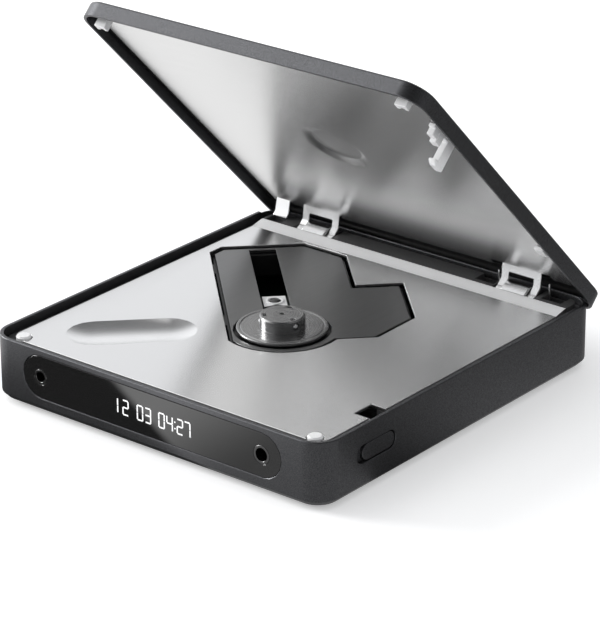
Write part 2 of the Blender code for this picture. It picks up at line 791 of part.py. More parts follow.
def mech_outline(gap=0.0):
    """Opening round the mechanism, in its own axes: u runs along the pickup's travel."""
    arc_start = math.pi + math.acos(MECH_NECK / MECH_ARC)
    arc_end = math.pi - math.asin(MECH_SIDE / MECH_ARC)
    points = arc((0.0, 0.0), MECH_ARC, arc_start, arc_end, SMALL_STEPS)
    points += [
        (MECH_END - MECH_END_CHAMFER, MECH_SIDE),
        (MECH_END, MECH_SIDE - MECH_END_CHAMFER),
        (MECH_END, MECH_FLANK_CHAMFER - MECH_FLANK),
        (MECH_END - MECH_FLANK_CHAMFER, -MECH_FLANK),
        (MECH_STEP, -MECH_FLANK),
        (MECH_STEP, -MECH_WING),
        (MECH_WING_START, -MECH_WING),
        (-MECH_NECK, MECH_WING_CHAMFER - MECH_WING),
    ]
    points.reverse()
    return shrink(points, gap) if gap else points


def deck_plate():
    mesh = bmesh.new()
    middle = (0.0, (DECK_FRONT + DECK_REAR) / 2)
    outline = rounded_rect(DECK_WIDTH, DECK_REAR - DECK_FRONT, DECK_CORNER, 0.0, middle)
    rear = [(x, y) for x, y in outline if y < middle[1]]
    rear += [(DECK_WIDTH / 2, DECK_REAR), (-DECK_WIDTH / 2, DECK_REAR)]
    prism(mesh, rear, DECK_BOTTOM, DECK_TOP)
    deck = piece("deck_plate", mesh, "satin_steel")
    add(deck, deck_ramp())
    add(deck, scallop_dish("scallop_shell", SCALLOP_WALL, DECK_TOP - SCALLOP_WALL / 2))
    cut(deck, scallop_dish("scallop_cutter", 0.0, DECK_TOP + OVERRUN))
    cut(deck, mech_cutter())
    cut(deck, deck_hole_cutter())
    return deck


def deck_ramp():
    mesh = bmesh.new()
    overlap = DECK_THICK / 2
    profile = [
        (RAMP_START, DECK_TOP),
        (RAMP_START, DECK_TOP - overlap),
        (DECK_REAR, DECK_TOP - overlap),
        (DECK_REAR, LEDGE_TOP),
        (RAMP_CREST, LEDGE_TOP),
    ]
    prism(mesh, profile, -DECK_WIDTH / 2, DECK_WIDTH / 2, along_x)
    return helper("deck_ramp", mesh)


def scallop_dish(name, wall, top):
    """A shallow pill-shaped dish, set at an angle across the front left of the deck."""
    mesh = bmesh.new()
    levels = 5
    width = SCALLOP_WIDTH + 2 * wall
    length = SCALLOP_LENGTH + 2 * wall
    depth = SCALLOP_DEPTH + wall
    rings = [[along_z(a, b, top) for a, b in pill(length, width)]]
    if top > DECK_TOP:
        rings.append([along_z(a, b, DECK_TOP) for a, b in pill(length, width)])
    for level in range(1, levels):
        share = math.cos(level / levels * math.pi / 2)
        height = DECK_TOP - depth * (1 - share * share)
        if height < top:
            outline = pill(length - width + width * share, width * share)
            rings.append([along_z(a, b, height) for a, b in outline])
    loft(mesh, rings)
    bmesh.ops.rotate(mesh, verts=mesh.verts, matrix=Matrix.Rotation(SCALLOP_ANGLE, 3, "Z"))
    bmesh.ops.translate(mesh, verts=mesh.verts, vec=(*SCALLOP_CENTRE, 0.0))
    return helper(name, mesh)


def mech_cutter():
    mesh = bmesh.new()
    prism(mesh, mech_outline(), DECK_BOTTOM - OVERRUN, DECK_TOP + OVERRUN)
    bmesh.ops.rotate(mesh, verts=mesh.verts, matrix=Matrix.Rotation(MECH_TURN, 3, "Z"))
    bmesh.ops.translate(mesh, verts=mesh.verts, vec=SPINDLE)
    return helper("mech_cutter", mesh)


def deck_hole_cutter():
    mesh = bmesh.new()
    for side in (-1, 1):
        outline = circle(BUMPER_RADIUS + FIT, (side * BUMPER_X, BUMPER_Y))
        prism(mesh, outline, DECK_BOTTOM - OVERRUN, DECK_TOP + OVERRUN)
    half = HOOK_SLOT_LENGTH / 2
    block(
        mesh,
        (HOOK_SLOT_X, HOOK_SLOT_Y - half, DECK_BOTTOM - OVERRUN),
        (DECK_WIDTH / 2 + OVERRUN, HOOK_SLOT_Y + half, DECK_TOP + OVERRUN),
    )
    return helper("deck_hole_cutter", mesh)


def deck_bumper(name, side):
    mesh = bmesh.new()
    profile = (
        (BUMPER_RADIUS, FRAME_TOP + FIT),
        (BUMPER_RADIUS, BUMPER_TOP - SMALLEST_RADIUS),
        (BUMPER_RADIUS - SMALLEST_RADIUS, BUMPER_TOP),
    )
    turned(mesh, profile, (side * BUMPER_X, BUMPER_Y))
    return piece(name, mesh, "white_plastic")


def inner_frame():
    """Black frame: a shelf round the walls, and the hinge ledge across the rear."""
    mesh = bmesh.new()
    outline = body_outline(BASE_WALL + FIT)
    prism(mesh, outline, FRAME_BOTTOM, FRAME_TOP)
    frame = piece("inner_frame", mesh, "black_plastic")
    cut(frame, frame_opening())
    add(frame, hinge_ledge())
    add(frame, spring_stop())
    cut(frame, ledge_pockets())
    cut(frame, pin_bores("ledge_pin_bores", PIN_RADIUS + RUNNING_FIT))
    cut(frame, latch_pocket())
    return frame


def frame_opening():
    mesh = bmesh.new()
    half = FRAME_OPENING_WIDTH / 2
    block(
        mesh,
        (-half, FRAME_OPENING_FRONT, FRAME_BOTTOM - OVERRUN),
        (half, FRAME_OPENING_REAR, FRAME_TOP + OVERRUN),
    )
    return helper("frame_opening", mesh)


def hinge_ledge():
    mesh = bmesh.new()
    front = DECK_REAR + FIT
    half = DECK_WIDTH / 2
    turn = LEDGE_CORNER
    outline = [(-half, front), (half, front)]
    outline += arc((half - turn, LEDGE_REAR - turn), turn, 0.0, math.pi / 2, SMALL_STEPS // 2)
    outline += arc((turn - half, LEDGE_REAR - turn), turn, math.pi / 2, math.pi, SMALL_STEPS // 2)
    prism(mesh, outline, LEDGE_BOTTOM, LEDGE_TOP)
    return helper("hinge_ledge", mesh)


def spring_stop():
    mesh = bmesh.new()
    front = latch_spring_front() - FIT
    middle = slider_x()
    half = SPRING_STOP + SLIDER_THICK / 2
    block(
        mesh,
        (middle - half, front - SPRING_STOP, RELEASE_Z - half),
        (middle + half, front, FRAME_BOTTOM + FIT),
    )
    return helper("spring_stop", mesh)


def ledge_pockets():
    """Room for the knuckles, the springs and the cable guard."""
    mesh = bmesh.new()
    front = DECK_REAR - OVERRUN
    rear = LEDGE_REAR + OVERRUN
    top = LEDGE_TOP + OVERRUN
    half = NOTCH_LENGTH / 2
    for side in (-1, 1):
        middle = side * HINGE_X
        block(mesh, (middle - half, front, LEDGE_POCKET_FLOOR), (middle + half, rear, top))
    reach = SPRING_RADIUS + SPRING_WIRE + FIT
    for middle in SPRING_CENTRES:
        block(
            mesh,
            (middle - SPRING_POCKET / 2, HINGE.y - reach, HINGE.z - reach),
            (middle + SPRING_POCKET / 2, rear, top),
        )
    half = GUARD_LENGTH / 2 + FIT
    block(
        mesh,
        (GUARD_X - half, front, LEDGE_TOP - GUARD_DROP - FIT),
        (GUARD_X + half, HINGE.y + GUARD_POCKET_REAR, top),
    )
    return helper("ledge_pockets", mesh)


def pin_ends():
    """Both pins' ends: each reaches into the ledge past its notch and the right one on to the springs."""
    half = NOTCH_LENGTH / 2
    right_start = SPRING_CENTRES[0] - SPRING_POCKET / 2
    right_end = SPRING_CENTRES[1] + SPRING_POCKET / 2
    left = (-HINGE_X - half - PIN_TAIL, -HINGE_X + half + PIN_TAIL)
    return (left, (right_start - PIN_TAIL, right_end + PIN_TAIL))


def pin_bores(name, radius, parent=None, origin=ORIGIN):
    mesh = bmesh.new()
    for start, end in pin_ends():
        prism(mesh, circle(radius, HINGE.yz, SMALL_STEPS), start - FIT, end + FIT, along_x)
    return helper(name, mesh, parent, origin)


def hinge_pin(name, ends):
    mesh = bmesh.new()
    prism(mesh, circle(PIN_RADIUS, HINGE.yz, SMALL_STEPS), *ends, along_x)
    return piece(name, mesh, "bright_metal", None, HINGE)


def latch_pocket():
    mesh = bmesh.new()
    slot_rear = HOOK_SLOT_Y + HOOK_SLOT_LENGTH / 2
    block(
        mesh,
        (HOOK_SLOT_X, catch_front() - RELEASE_TRAVEL - FIT, FRAME_BOTTOM - OVERRUN),
        (slider_x() + SLIDER_THICK / 2 + 2 * FIT, slot_rear, FRAME_TOP + OVERRUN),
    )
    return helper("latch_pocket", mesh)


# Hinge pieces

def hinge_knuckle(name, side):
    """Base half of a hinge: a saddle with a domed top that rises between the strap's arms."""
    mesh = bmesh.new()
    middle = tuple(HINGE.yz)
    front = DECK_REAR + FIT
    rear = LEDGE_REAR
    start = math.acos((rear - HINGE.y) / DOME_RADIUS)
    end = math.acos((front - HINGE.y) / DOME_RADIUS)
    foot = HINGE.z - KNUCKLE_DROP
    outline = arc(middle, DOME_RADIUS, start, end, ROUND_STEPS)
    outline += [(front, foot), (rear, foot)]
    left = side * HINGE_X - KNUCKLE_LENGTH / 2
    prism(mesh, outline, left, left + KNUCKLE_LENGTH, along_x)
    knuckle = piece(name, mesh, "bright_metal", None, HINGE)
    cut(knuckle, pin_bores(name + "_bore", PIN_RADIUS + RUNNING_FIT))
    return knuckle


def strap_line(notch):
    """Front of a strap in side view, shut: behind the lid plate, out at its notch and down to the elbow."""
    tail = PLATE_BOTTOM + PLATE_THICK + FIT
    bend = PLATE_REAR - notch + FIT
    elbow = DECK_REAR + FIT
    return (bend - STRAP_TAIL, tail), (bend, tail), (elbow, LEDGE_TOP + STRAP_ELBOW_RISE)


def strap_back(notch):
    """Rear of a strap's sheet in side view, one thickness behind its front."""
    (tail_y, tail_z), (bend_y, bend_z), (elbow_y, elbow_z) = strap_line(notch)
    run = elbow_y - bend_y
    fall = bend_z - elbow_z
    slant = math.hypot(run, fall)
    back = (elbow_y + STRAP_THICK * fall / slant, elbow_z + STRAP_THICK * run / slant)
    top = tail_z + STRAP_THICK
    knee = back[0] - (top - back[1]) * run / fall
    return back, (knee, top), (tail_y, top)


def strap_outline():
    """Side view of a hinge strap, shut: the sheet, its curled front and the barrel round the pin."""
    middle = tuple(HINGE.yz)
    tail, bend, elbow = strap_line(PLATE_NOTCH_DEPTH)
    curl = math.acos((elbow[0] - HINGE.y) / EYE_RADIUS)
    shape = arc(middle, EYE_RADIUS, curl, EYE_END, SMALL_STEPS)
    shape += arc(middle, BARREL_RADIUS, BARREL_START, BARREL_END, ROUND_STEPS)
    shape += strap_back(PLATE_NOTCH_DEPTH)
    return shape + [tail, bend, elbow]


def hinge_strap(name, side, lid):
    mesh = bmesh.new()
    middle = side * HINGE_X
    prism(mesh, strap_outline(), middle - STRAP_HALF, middle + STRAP_HALF, along_x)
    strap = piece(name, mesh, "bright_metal", lid, HINGE)
    window = bmesh.new()
    inner = KNUCKLE_LENGTH / 2 + ARM_GAP
    reach = EYE_RADIUS + OVERRUN
    block(
        window,
        (middle - inner, HINGE.y - reach, HINGE.z - reach),
        (middle + inner, HINGE.y + reach, PLATE_BOTTOM - STRAP_WINDOW_DROP),
    )
    cut(strap, helper(name + "_window", window, lid, HINGE))
    cut(strap, pin_bores(name + "_bore", PIN_RADIUS + RUNNING_FIT, lid, HINGE))
    return strap


def cable_guard(lid):
    """Short tab from the lid plate's rear edge, over the flat cable that runs into the lid."""
    mesh = bmesh.new()
    half = GUARD_LENGTH / 2
    tail, bend, elbow = strap_line(GUARD_NOTCH_DEPTH)
    back, knee, top = strap_back(GUARD_NOTCH_DEPTH)
    low = LEDGE_TOP - GUARD_DROP
    outline = [(elbow[0], low), (back[0], low), back, knee, top, tail, bend, elbow]
    prism(mesh, outline, GUARD_X - half, GUARD_X + half, along_x)
    return piece("cable_guard", mesh, "bright_metal", lid, HINGE)


def helix_points(radius, length, curls, start, axis_point, direction):
    """Points of a coil about an axis along X, from a formula."""
    points = []
    count = round(curls * SPRING_STEPS)
    for step in range(count + 1):
        share = step / count
        angle = start + direction * 2 * math.pi * curls * share
        points.append(
            Vector((
                axis_point.x + length * (share - 0.5),
                axis_point.y + radius * math.cos(angle),
                axis_point.z + radius * math.sin(angle),
            ))
        )
    return points


def least_gap(points, wire, curl_points):
    """Smallest free space between parts of the wire that aren't neighbours along it."""
    least = math.inf
    for index, first in enumerate(points):
        for second in points[index + curl_points // 2:]:
            least = min(least, (first - second).length - 2 * wire)
    return least


def wire(name, points, radius, look, origin, parent=None):
    data = bpy.data.curves.new(name, "CURVE")
    data.dimensions = "3D"
    data.bevel_depth = radius
    data.bevel_resolution = 1
    data.use_fill_caps = True
    spline = data.splines.new("POLY")
    spline.points.add(len(points) - 1)
    for target, point in zip(spline.points, points):
        target.co = (*(point - origin), 1.0)
    data.materials.append(finish(look))
    return new_object(name, data, parent, origin)


def lid_spring(name, centre_x, side):
    """Torsion spring round the hinge pin: one leg lies on the ledge, the other rises to the lid."""
    middle = Vector((centre_x, HINGE.y, HINGE.z))
    coil = helix_points(SPRING_RADIUS, SPRING_LENGTH, SPRING_CURLS, -math.pi / 2, middle, 1)
    coil = [Vector((centre_x + side * (point.x - centre_x), point.y, point.z)) for point in coil]
    gap = least_gap(coil, SPRING_WIRE, SPRING_STEPS)
    print(name, "least gap to itself, mm:", round(gap * 1000, 3))
    base_leg = coil[0] - Vector((0.0, SPRING_BASE_LEG, 0.0))
    lid_leg = coil[-1] + Vector((0.0, 0.0, SPRING_LID_LEG))
    return wire(name, [base_leg] + coil + [lid_leg], SPRING_WIRE, "bright_metal", HINGE)


# Mechanism

def mechanism_cover(mechanism):
    mesh = bmesh.new()
    prism(mesh, mech_outline(COVER_GAP), COVER_TOP - COVER_THICK, COVER_TOP)
    cover = piece("mechanism_cover", mesh, "dark_satin", mechanism)
    hole = bmesh.new()
    prism(hole, circle(COVER_HOLE), COVER_TOP - COVER_THICK - OVERRUN, COVER_TOP + OVERRUN)
    cut(cover, helper("cover_hole", hole, mechanism))
    slot = bmesh.new()
    block(
        slot,
        (0.0, -SLOT_WIDTH / 2, COVER_TOP - COVER_THICK - OVERRUN),
        (MECH_END - COVER_GAP - SLOT_RIM, SLOT_WIDTH / 2, COVER_TOP + OVERRUN),
    )
    cut(cover, helper("cover_slot", slot, mechanism))
    return cover


def mechanism_chassis(mechanism):
    mesh = bmesh.new()
    prism(mesh, mech_outline(CHASSIS_GAP), CHASSIS_BOTTOM, CHASSIS_TOP)
    chassis = piece("mechanism_chassis", mesh, "black_plastic", mechanism)
    lugs = bmesh.new()
    for u, v in DAMPER_UV[:2]:
        outline = arc((u, v), LUG_RADIUS, 0.0, math.pi, SMALL_STEPS)
        outline += [(u - LUG_RADIUS, MECH_SIDE / 2), (u + LUG_RADIUS, MECH_SIDE / 2)]
        prism(lugs, outline, CHASSIS_BOTTOM, CHASSIS_TOP)
    add(chassis, helper("chassis_lugs", lugs, mechanism))
    add(chassis, chassis_bosses(mechanism))
    slot = bmesh.new()
    block(
        slot,
        (ROD_START + ROD_BOSS, -CHASSIS_SLOT / 2, CHASSIS_BOTTOM - OVERRUN),
        (ROD_FAR - ROD_BOSS, CHASSIS_SLOT / 2, CHASSIS_TOP + OVERRUN),
    )
    prism(slot, circle(TABLE_BOSS + 2 * FIT), CHASSIS_BOTTOM - OVERRUN, CHASSIS_TOP + OVERRUN)
    cut(chassis, helper("chassis_slot", slot, mechanism))
    bores = bmesh.new()
    outline = circle(ROD_RADIUS + RUNNING_FIT, (-ROD_SPREAD, ROD_HEIGHT), SMALL_STEPS)
    prism(bores, outline, ROD_START - FIT, ROD_FAR - FIT, along_x)
    outline = circle(SCREW_RADIUS + RUNNING_FIT, (-SCREW_V, ROD_HEIGHT), SMALL_STEPS)
    prism(bores, outline, SCREW_START + ROD_BOSS, ROD_FAR - FIT, along_x)
    cut(chassis, helper("chassis_bores", bores, mechanism))
    return chassis


def chassis_bosses(mechanism):
    """Walls under the chassis that hold the rod, the rail and the end of the lead screw."""
    mesh = bmesh.new()
    high = CHASSIS_BOTTOM + FIT
    half = ROD_BOSS_HALF
    middle = -ROD_SPREAD
    block(
        mesh,
        (ROD_START - ROD_BOSS / 4, middle - half, BOSS_BOTTOM),
        (ROD_START + ROD_BOSS, middle + half, high),
    )
    rail = SLED_HALF + FIT
    far = ROD_FAR - ROD_BOSS
    outline = [
        (far, -SCREW_V - half),
        (ROD_FAR, -SCREW_V - half),
        (ROD_FAR, RAIL_OUTER),
        (ROD_START, RAIL_OUTER),
        (ROD_START, rail),
        (far, rail),
    ]
    prism(mesh, outline, BOSS_BOTTOM, high)
    return helper("chassis_bosses", mesh, mechanism)


def guide_rod(mechanism):
    mesh = bmesh.new()
    outline = circle(ROD_RADIUS, (-ROD_SPREAD, ROD_HEIGHT), SMALL_STEPS)
    prism(mesh, outline, ROD_START, ROD_FAR - 2 * FIT, along_x)
    return piece("guide_rod", mesh, "bright_metal", mechanism)


def spindle_motor(mechanism):
    mesh = bmesh.new()
    top = CHASSIS_BOTTOM - FIT
    profile = (
        (MOTOR_CAP, MOTOR_BOTTOM),
        (MOTOR_RADIUS - HUB_EDGE, MOTOR_BOTTOM),
        (MOTOR_RADIUS, MOTOR_BOTTOM + HUB_EDGE),
        (MOTOR_RADIUS, top),
    )
    turned(mesh, profile)
    motor = piece("spindle_motor", mesh, "bright_metal", mechanism)
    bore = bmesh.new()
    prism(bore, circle(SHAFT_RADIUS + RUNNING_FIT, steps=SMALL_STEPS), shaft_end() - FIT, top + OVERRUN)
    cut(motor, helper("motor_bore", bore, mechanism))
    return motor


def shaft_end():
    return MOTOR_BOTTOM + 2 * HUB_EDGE


def turntable(mechanism):
    """Disc, hub and shaft in one turned piece, with pockets for the clamp balls."""
    mesh = bmesh.new()
    table_low = TABLE_TOP - TABLE_THICK
    hub_top = TABLE_TOP + HUB_HEIGHT
    profile = (
        (SHAFT_RADIUS, shaft_end()),
        (SHAFT_RADIUS, table_low - TABLE_GROOVE),
        (TABLE_BOSS, table_low - TABLE_GROOVE),
        (TABLE_BOSS, table_low),
        (TABLE_RADIUS - TABLE_GROOVE, table_low),
        (TABLE_RADIUS, table_low + TABLE_GROOVE),
        (TABLE_RADIUS, TABLE_TOP - TABLE_GROOVE / 2),
        (TABLE_RADIUS - TABLE_GROOVE / 2, TABLE_TOP),
        (TABLE_GROOVE_RADIUS + TABLE_GROOVE / 2, TABLE_TOP),
        (TABLE_GROOVE_RADIUS, TABLE_TOP - TABLE_GROOVE / 2),
        (TABLE_GROOVE_RADIUS - TABLE_GROOVE / 2, TABLE_TOP),
        (HUB_RADIUS, TABLE_TOP),
        (HUB_RADIUS, hub_top - HUB_EDGE),
        (HUB_RADIUS - HUB_EDGE, hub_top),
        (HUB_BORE, hub_top),
        (HUB_BORE, hub_top - HUB_BORE_DEPTH),
    )
    turned(mesh, profile, steps=2 * ROUND_STEPS)
    table = piece("turntable", mesh, "dark_satin", mechanism)
    cut(table, ball_pockets(mechanism))
    return table


def ball_height():
    return TABLE_TOP + HUB_HEIGHT - BALL_DROP


def ball_turn(index):
    """Angle of a clamp ball about the spindle, measured in the mechanism's own axes."""
    return math.radians(BALL_ANGLES[index]) - MECH_TURN


def ball_pockets(mechanism):
    mesh = bmesh.new()
    for index in range(len(BALL_ANGLES)):
        part = bmesh.new()
        outline = circle(BALL_POCKET, (0.0, ball_height()), SMALL_STEPS)
        prism(part, outline, BALL_BED, HUB_RADIUS + OVERRUN, along_x)
        mark = HUB_RADIUS - MARK_LONG
        top = TABLE_TOP + HUB_HEIGHT
        block(
            part,
            (mark - MARK_LONG, -MARK_WIDE / 2, top - MARK_DEEP),
            (mark, MARK_WIDE / 2, top + OVERRUN),
        )
        turn = Matrix.Rotation(ball_turn(index), 3, "Z")
        bmesh.ops.rotate(part, verts=part.verts, matrix=turn)
        data = bpy.data.meshes.new("ball_pocket")
        part.to_mesh(data)
        part.free()
        mesh.from_mesh(data)
        bpy.data.meshes.remove(data)
    return helper("ball_pockets", mesh, mechanism)


def clamp_ball(index, mechanism):
    mesh = bmesh.new()
    reach = HUB_RADIUS + BALL_PROUD - BALL_RADIUS
    turn = ball_turn(index)
    local = Vector((reach * math.cos(turn), reach * math.sin(turn), ball_height()))
    bmesh.ops.create_uvsphere(mesh, u_segments=SMALL_STEPS, v_segments=SMALL_STEPS // 2, radius=BALL_RADIUS)
    bmesh.ops.translate(mesh, verts=mesh.verts, vec=local)
    ball = piece("clamp_ball_" + str(index + 1), mesh, "bright_metal", mechanism)
    return ball


def pickup_sled(mechanism):
    mesh = bmesh.new()
    start = SLED_START
    end = SLED_START + SLED_LENGTH
    block(mesh, (start, -SLED_HALF, SLED_BOTTOM), (end, SLED_HALF, SLED_TOP))
    sled = piece("pickup_sled", mesh, "black_plastic", mechanism)
    nut = bmesh.new()
    middle = (start + end) / 2
    half = NUT_LENGTH / 2
    reach = SCREW_V - SCREW_RADIUS - FIT
    high = ROD_HEIGHT + NUT_HEIGHT / 2
    low = ROD_HEIGHT - NUT_HEIGHT / 2
    block(nut, (middle - half, -reach, low), (middle + half, FIT - SLED_HALF, high))
    add(sled, helper("sled_nut", nut, mechanism))
    bores = bmesh.new()
    outline = circle(ROD_RADIUS + RUNNING_FIT, (-ROD_SPREAD, ROD_HEIGHT), SMALL_STEPS)
    prism(bores, outline, start - OVERRUN, end + OVERRUN, along_x)
    cut(sled, helper("sled_bores", bores, mechanism))
    return sled


def lens_holder(mechanism):
    mesh = bmesh.new()
    low = SLED_TOP + 2 * FIT
    high = low + HOLDER_THICK
    half_u = HOLDER_LENGTH / 2
    half_v = HOLDER_WIDTH / 2
    block(mesh, (LENS_U - half_u, -half_v, low), (LENS_U + half_u, half_v, high))
    holder = piece("lens_holder", mesh, "dark_satin", mechanism)
    ring = bmesh.new()
    outline = circle(LENS_RING, (LENS_U, 0.0))
    prism(ring, outline, high - FIT, high + LENS_RING_HEIGHT)
    add(holder, helper("lens_ring", ring, mechanism))
    seat = bmesh.new()
    outline = circle(LENS_RADIUS + RUNNING_FIT * 2, (LENS_U, 0.0))
    prism(seat, outline, high + LENS_RING_HEIGHT - LENS_SEAT, high + LENS_RING_HEIGHT + OVERRUN)
    cut(holder, helper("lens_seat", seat, mechanism))
    return holder


def objective_lens(mechanism):
    mesh = bmesh.new()
    seat = SLED_TOP + 2 * FIT + HOLDER_THICK + LENS_RING_HEIGHT - LENS_SEAT
    low = seat + FIT
    rim = seat + LENS_SEAT
    profile = [(LENS_RADIUS, low), (LENS_RADIUS, rim - FIT)]
    for step in (1, 2, 3):
        angle = step / 4 * math.pi / 2
        profile.append((LENS_RADIUS * math.cos(angle), rim - FIT + LENS_DOME * math.sin(angle)))
    turned(mesh, profile, (LENS_U, 0.0))
    return piece("objective_lens", mesh, "lens_glass", mechanism)


def lead_screw(mechanism):
    mesh = bmesh.new()
    centre = Vector((0.0, -SCREW_V, ROD_HEIGHT))
    outline = circle(SCREW_RADIUS, (-SCREW_V, ROD_HEIGHT), SMALL_STEPS)
    prism(mesh, outline, SCREW_START, ROD_FAR - 2 * FIT, along_x)
    return piece("lead_screw", mesh, "bright_metal", mechanism, centre)


def sled_motor(mechanism):
    mesh = bmesh.new()
    end = SCREW_START - FIT
    outline = circle(SLED_MOTOR_RADIUS, (-SCREW_V, ROD_HEIGHT))
    prism(mesh, outline, end - SLED_MOTOR_LENGTH, end, along_x)
    return piece("sled_motor", mesh, "bright_metal", mechanism)


def rubber_damper(index, mechanism):
    mesh = bmesh.new()
    low = CHASSIS_BOTTOM - FIT - DAMPER_HEIGHT
    third = DAMPER_HEIGHT / 3
    profile = (
        (DAMPER_RADIUS, low),
        (DAMPER_RADIUS, low + third),
        (DAMPER_WAIST, low + third),
        (DAMPER_WAIST, low + 2 * third),
        (DAMPER_RADIUS, low + 2 * third),
        (DAMPER_RADIUS, low + 3 * third),
    )
    turned(mesh, profile, DAMPER_UV[index], steps=SMALL_STEPS)
    return piece("rubber_damper_" + str(index + 1), mesh, "black_plastic", mechanism)


# Front panel

def front_window():
    mesh = bmesh.new()
    outline = pill(WINDOW_LENGTH - 2 * WINDOW_FIT, WINDOW_HEIGHT - 2 * WINDOW_FIT, (WINDOW_X, WINDOW_Z))
    front = WINDOW_SINK - DEPTH / 2
    prism(mesh, outline, front, front + WINDOW_THICK, along_y)
    window = piece("front_window", mesh, "black_glass")
    holes = bmesh.new()
    for x, ring in ((SMALL_JACK_X, SMALL_RING), (LARGE_JACK_X, LARGE_RING)):
        outline = circle(ring + WINDOW_FIT, (x, WINDOW_Z))
        prism(holes, outline, front - OVERRUN, front + WINDOW_THICK + OVERRUN, along_y)
    cut(window, helper("window_holes", holes))
    return window


def jack(name, x, z, ring, bore, facing):
    """Headphone socket: a metal nose that ends flush with the wall, on a block behind it."""
    mesh = bmesh.new()
    face = facing * (DEPTH / 2 - WINDOW_SINK)
    shoulder = facing * (WALL_FACE_Y - FIT)
    back = facing * (WALL_FACE_Y - FIT - JACK_DEPTH)
    low, high = sorted((shoulder, back))
    block(
        mesh,
        (x - JACK_HALF_WIDTH, low, z - JACK_HALF_HEIGHT),
        (x + JACK_HALF_WIDTH, high, z + JACK_HALF_HEIGHT),
    )
    socket = piece(name, mesh, "bright_metal")
    nose = bmesh.new()
    low, high = sorted((face, shoulder - facing * FIT))
    prism(nose, circle(ring, (x, z)), low, high, along_y)
    add(socket, helper(name + "_nose", nose))
    hole = bmesh.new()
    low, high = sorted((face + facing * OVERRUN, face - facing * JACK_BORE_DEPTH))
    prism(hole, circle(bore, (x, z)), low, high, along_y)
    cut(socket, helper(name + "_hole", hole))
    return socket


def display_module():
    mesh = bmesh.new()
    front = WINDOW_SINK - DEPTH / 2 + WINDOW_THICK + FIT
    half = DISPLAY_WIDTH / 2
    low = FRAME_BOTTOM - FIT - DISPLAY_HEIGHT
    block(
        mesh,
        (WINDOW_X - half, front, low),
        (WINDOW_X + half, front + DISPLAY_THICK, low + DISPLAY_HEIGHT),
    )
    return piece("display_module", mesh, "board")


# Rear panel

def usb_socket(name, x):
    """A metal sleeve open to the rear, with its tongue, on a foot that stands on the board."""
    mesh = bmesh.new()
    face = DEPTH / 2 - WINDOW_SINK
    back = face - USB_DEPTH
    prism(mesh, pill(USB_LENGTH, USB_HEIGHT, (x, USB_Z)), back, face, along_y)
    socket = piece(name, mesh, "bright_metal")
    foot = bmesh.new()
    block(
        foot,
        (x - USB_LENGTH / 4, back, BOARD_TOP + FIT),
        (x + USB_LENGTH / 4, WALL_FACE_Y - OVERRUN, USB_Z - USB_HEIGHT / 4),
    )
    add(socket, helper(name + "_foot", foot))
    hollow = bmesh.new()
    outline = pill(USB_LENGTH - 2 * USB_WALL, USB_HEIGHT - 2 * USB_WALL, (x, USB_Z))
    prism(hollow, outline, back + USB_BACK, face + OVERRUN, along_y)
    cut(socket, helper(name + "_hollow", hollow))
    tongue = bmesh.new()
    block(
        tongue,
        (x - TONGUE_LENGTH / 2, back + USB_BACK - FIT, USB_Z - TONGUE_THICK / 2),
        (x + TONGUE_LENGTH / 2, back + USB_BACK + TONGUE_DEPTH, USB_Z + TONGUE_THICK / 2),
    )
    add(socket, helper(name + "_tongue", tongue))
    return socket


def switch_body_blocks():
    """The two switches' bodies, soldered to the board."""
    mesh = bmesh.new()
    front = WALL_FACE_Y - SWITCH_SET_BACK
    for x in SWITCH_CENTRES:
        half = SWITCH_BODY_WIDTH / 2
        block(
            mesh,
            (x - half, front - SWITCH_BODY_DEPTH, BOARD_TOP - FIT),
            (x + half, front, SWITCH_Z + SWITCH_HEIGHT / 2 + FIT),
        )
    return helper("switch_body_blocks", mesh)


def switch_knob(name, centre_x):
    mesh = bmesh.new()
    x = centre_x + KNOB_SHIFT
    start = WALL_FACE_Y - SWITCH_SET_BACK + FIT
    end = DEPTH / 2 - KNOB_SINK
    centre = Vector((x, end, SWITCH_Z))
    profile = ((KNOB_RADIUS, start), (KNOB_RADIUS, end - KNOB_SINK), (KNOB_RADIUS - KNOB_SINK, end))
    turned(mesh, profile, (x, SWITCH_Z), along_y)
    return piece(name, mesh, "black_plastic", None, centre)


# Boards, battery and screws

def board_screw_places():
    return [(side * BOARD_SCREW_X, BOARD_SCREW_Y) for side in (-1, 1)]


def board_screw_cutter(name, low, radius):
    mesh = bmesh.new()
    for centre in board_screw_places():
        prism(mesh, circle(radius, centre, SMALL_STEPS), low + FIT, BOARD_TOP + OVERRUN)
    return helper(name, mesh)


def main_board():
    mesh = bmesh.new()
    outline = rectangle((-BOARD_HALF_WIDTH, BOARD_FRONT), (BOARD_HALF_WIDTH, BOARD_REAR))
    prism(mesh, outline, BOARD_BOTTOM, BOARD_TOP)
    board = piece("main_board", mesh, "board")
    add(board, switch_body_blocks())
    cut(board, board_screw_cutter("board_holes", FLOOR, SCREW_SHANK + FIT))
    holes = bmesh.new()
    for place in damper_places():
        outline = circle(POST_RADIUS + 2 * FIT, place, SMALL_STEPS)
        prism(holes, outline, BOARD_BOTTOM - OVERRUN, BOARD_TOP + OVERRUN)
    cut(board, helper("board_post_holes", holes))
    return board


def board_screw(name, centre):
    mesh = bmesh.new()
    head = BOARD_TOP + FIT
    profile = (
        (SCREW_SHANK, FLOOR + 2 * FIT),
        (SCREW_SHANK, head),
        (SCREW_HEAD, head),
        (SCREW_HEAD, head + SCREW_HEAD_HEIGHT),
    )
    turned(mesh, profile, centre, steps=SMALL_STEPS)
    return piece(name, mesh, "bright_metal")


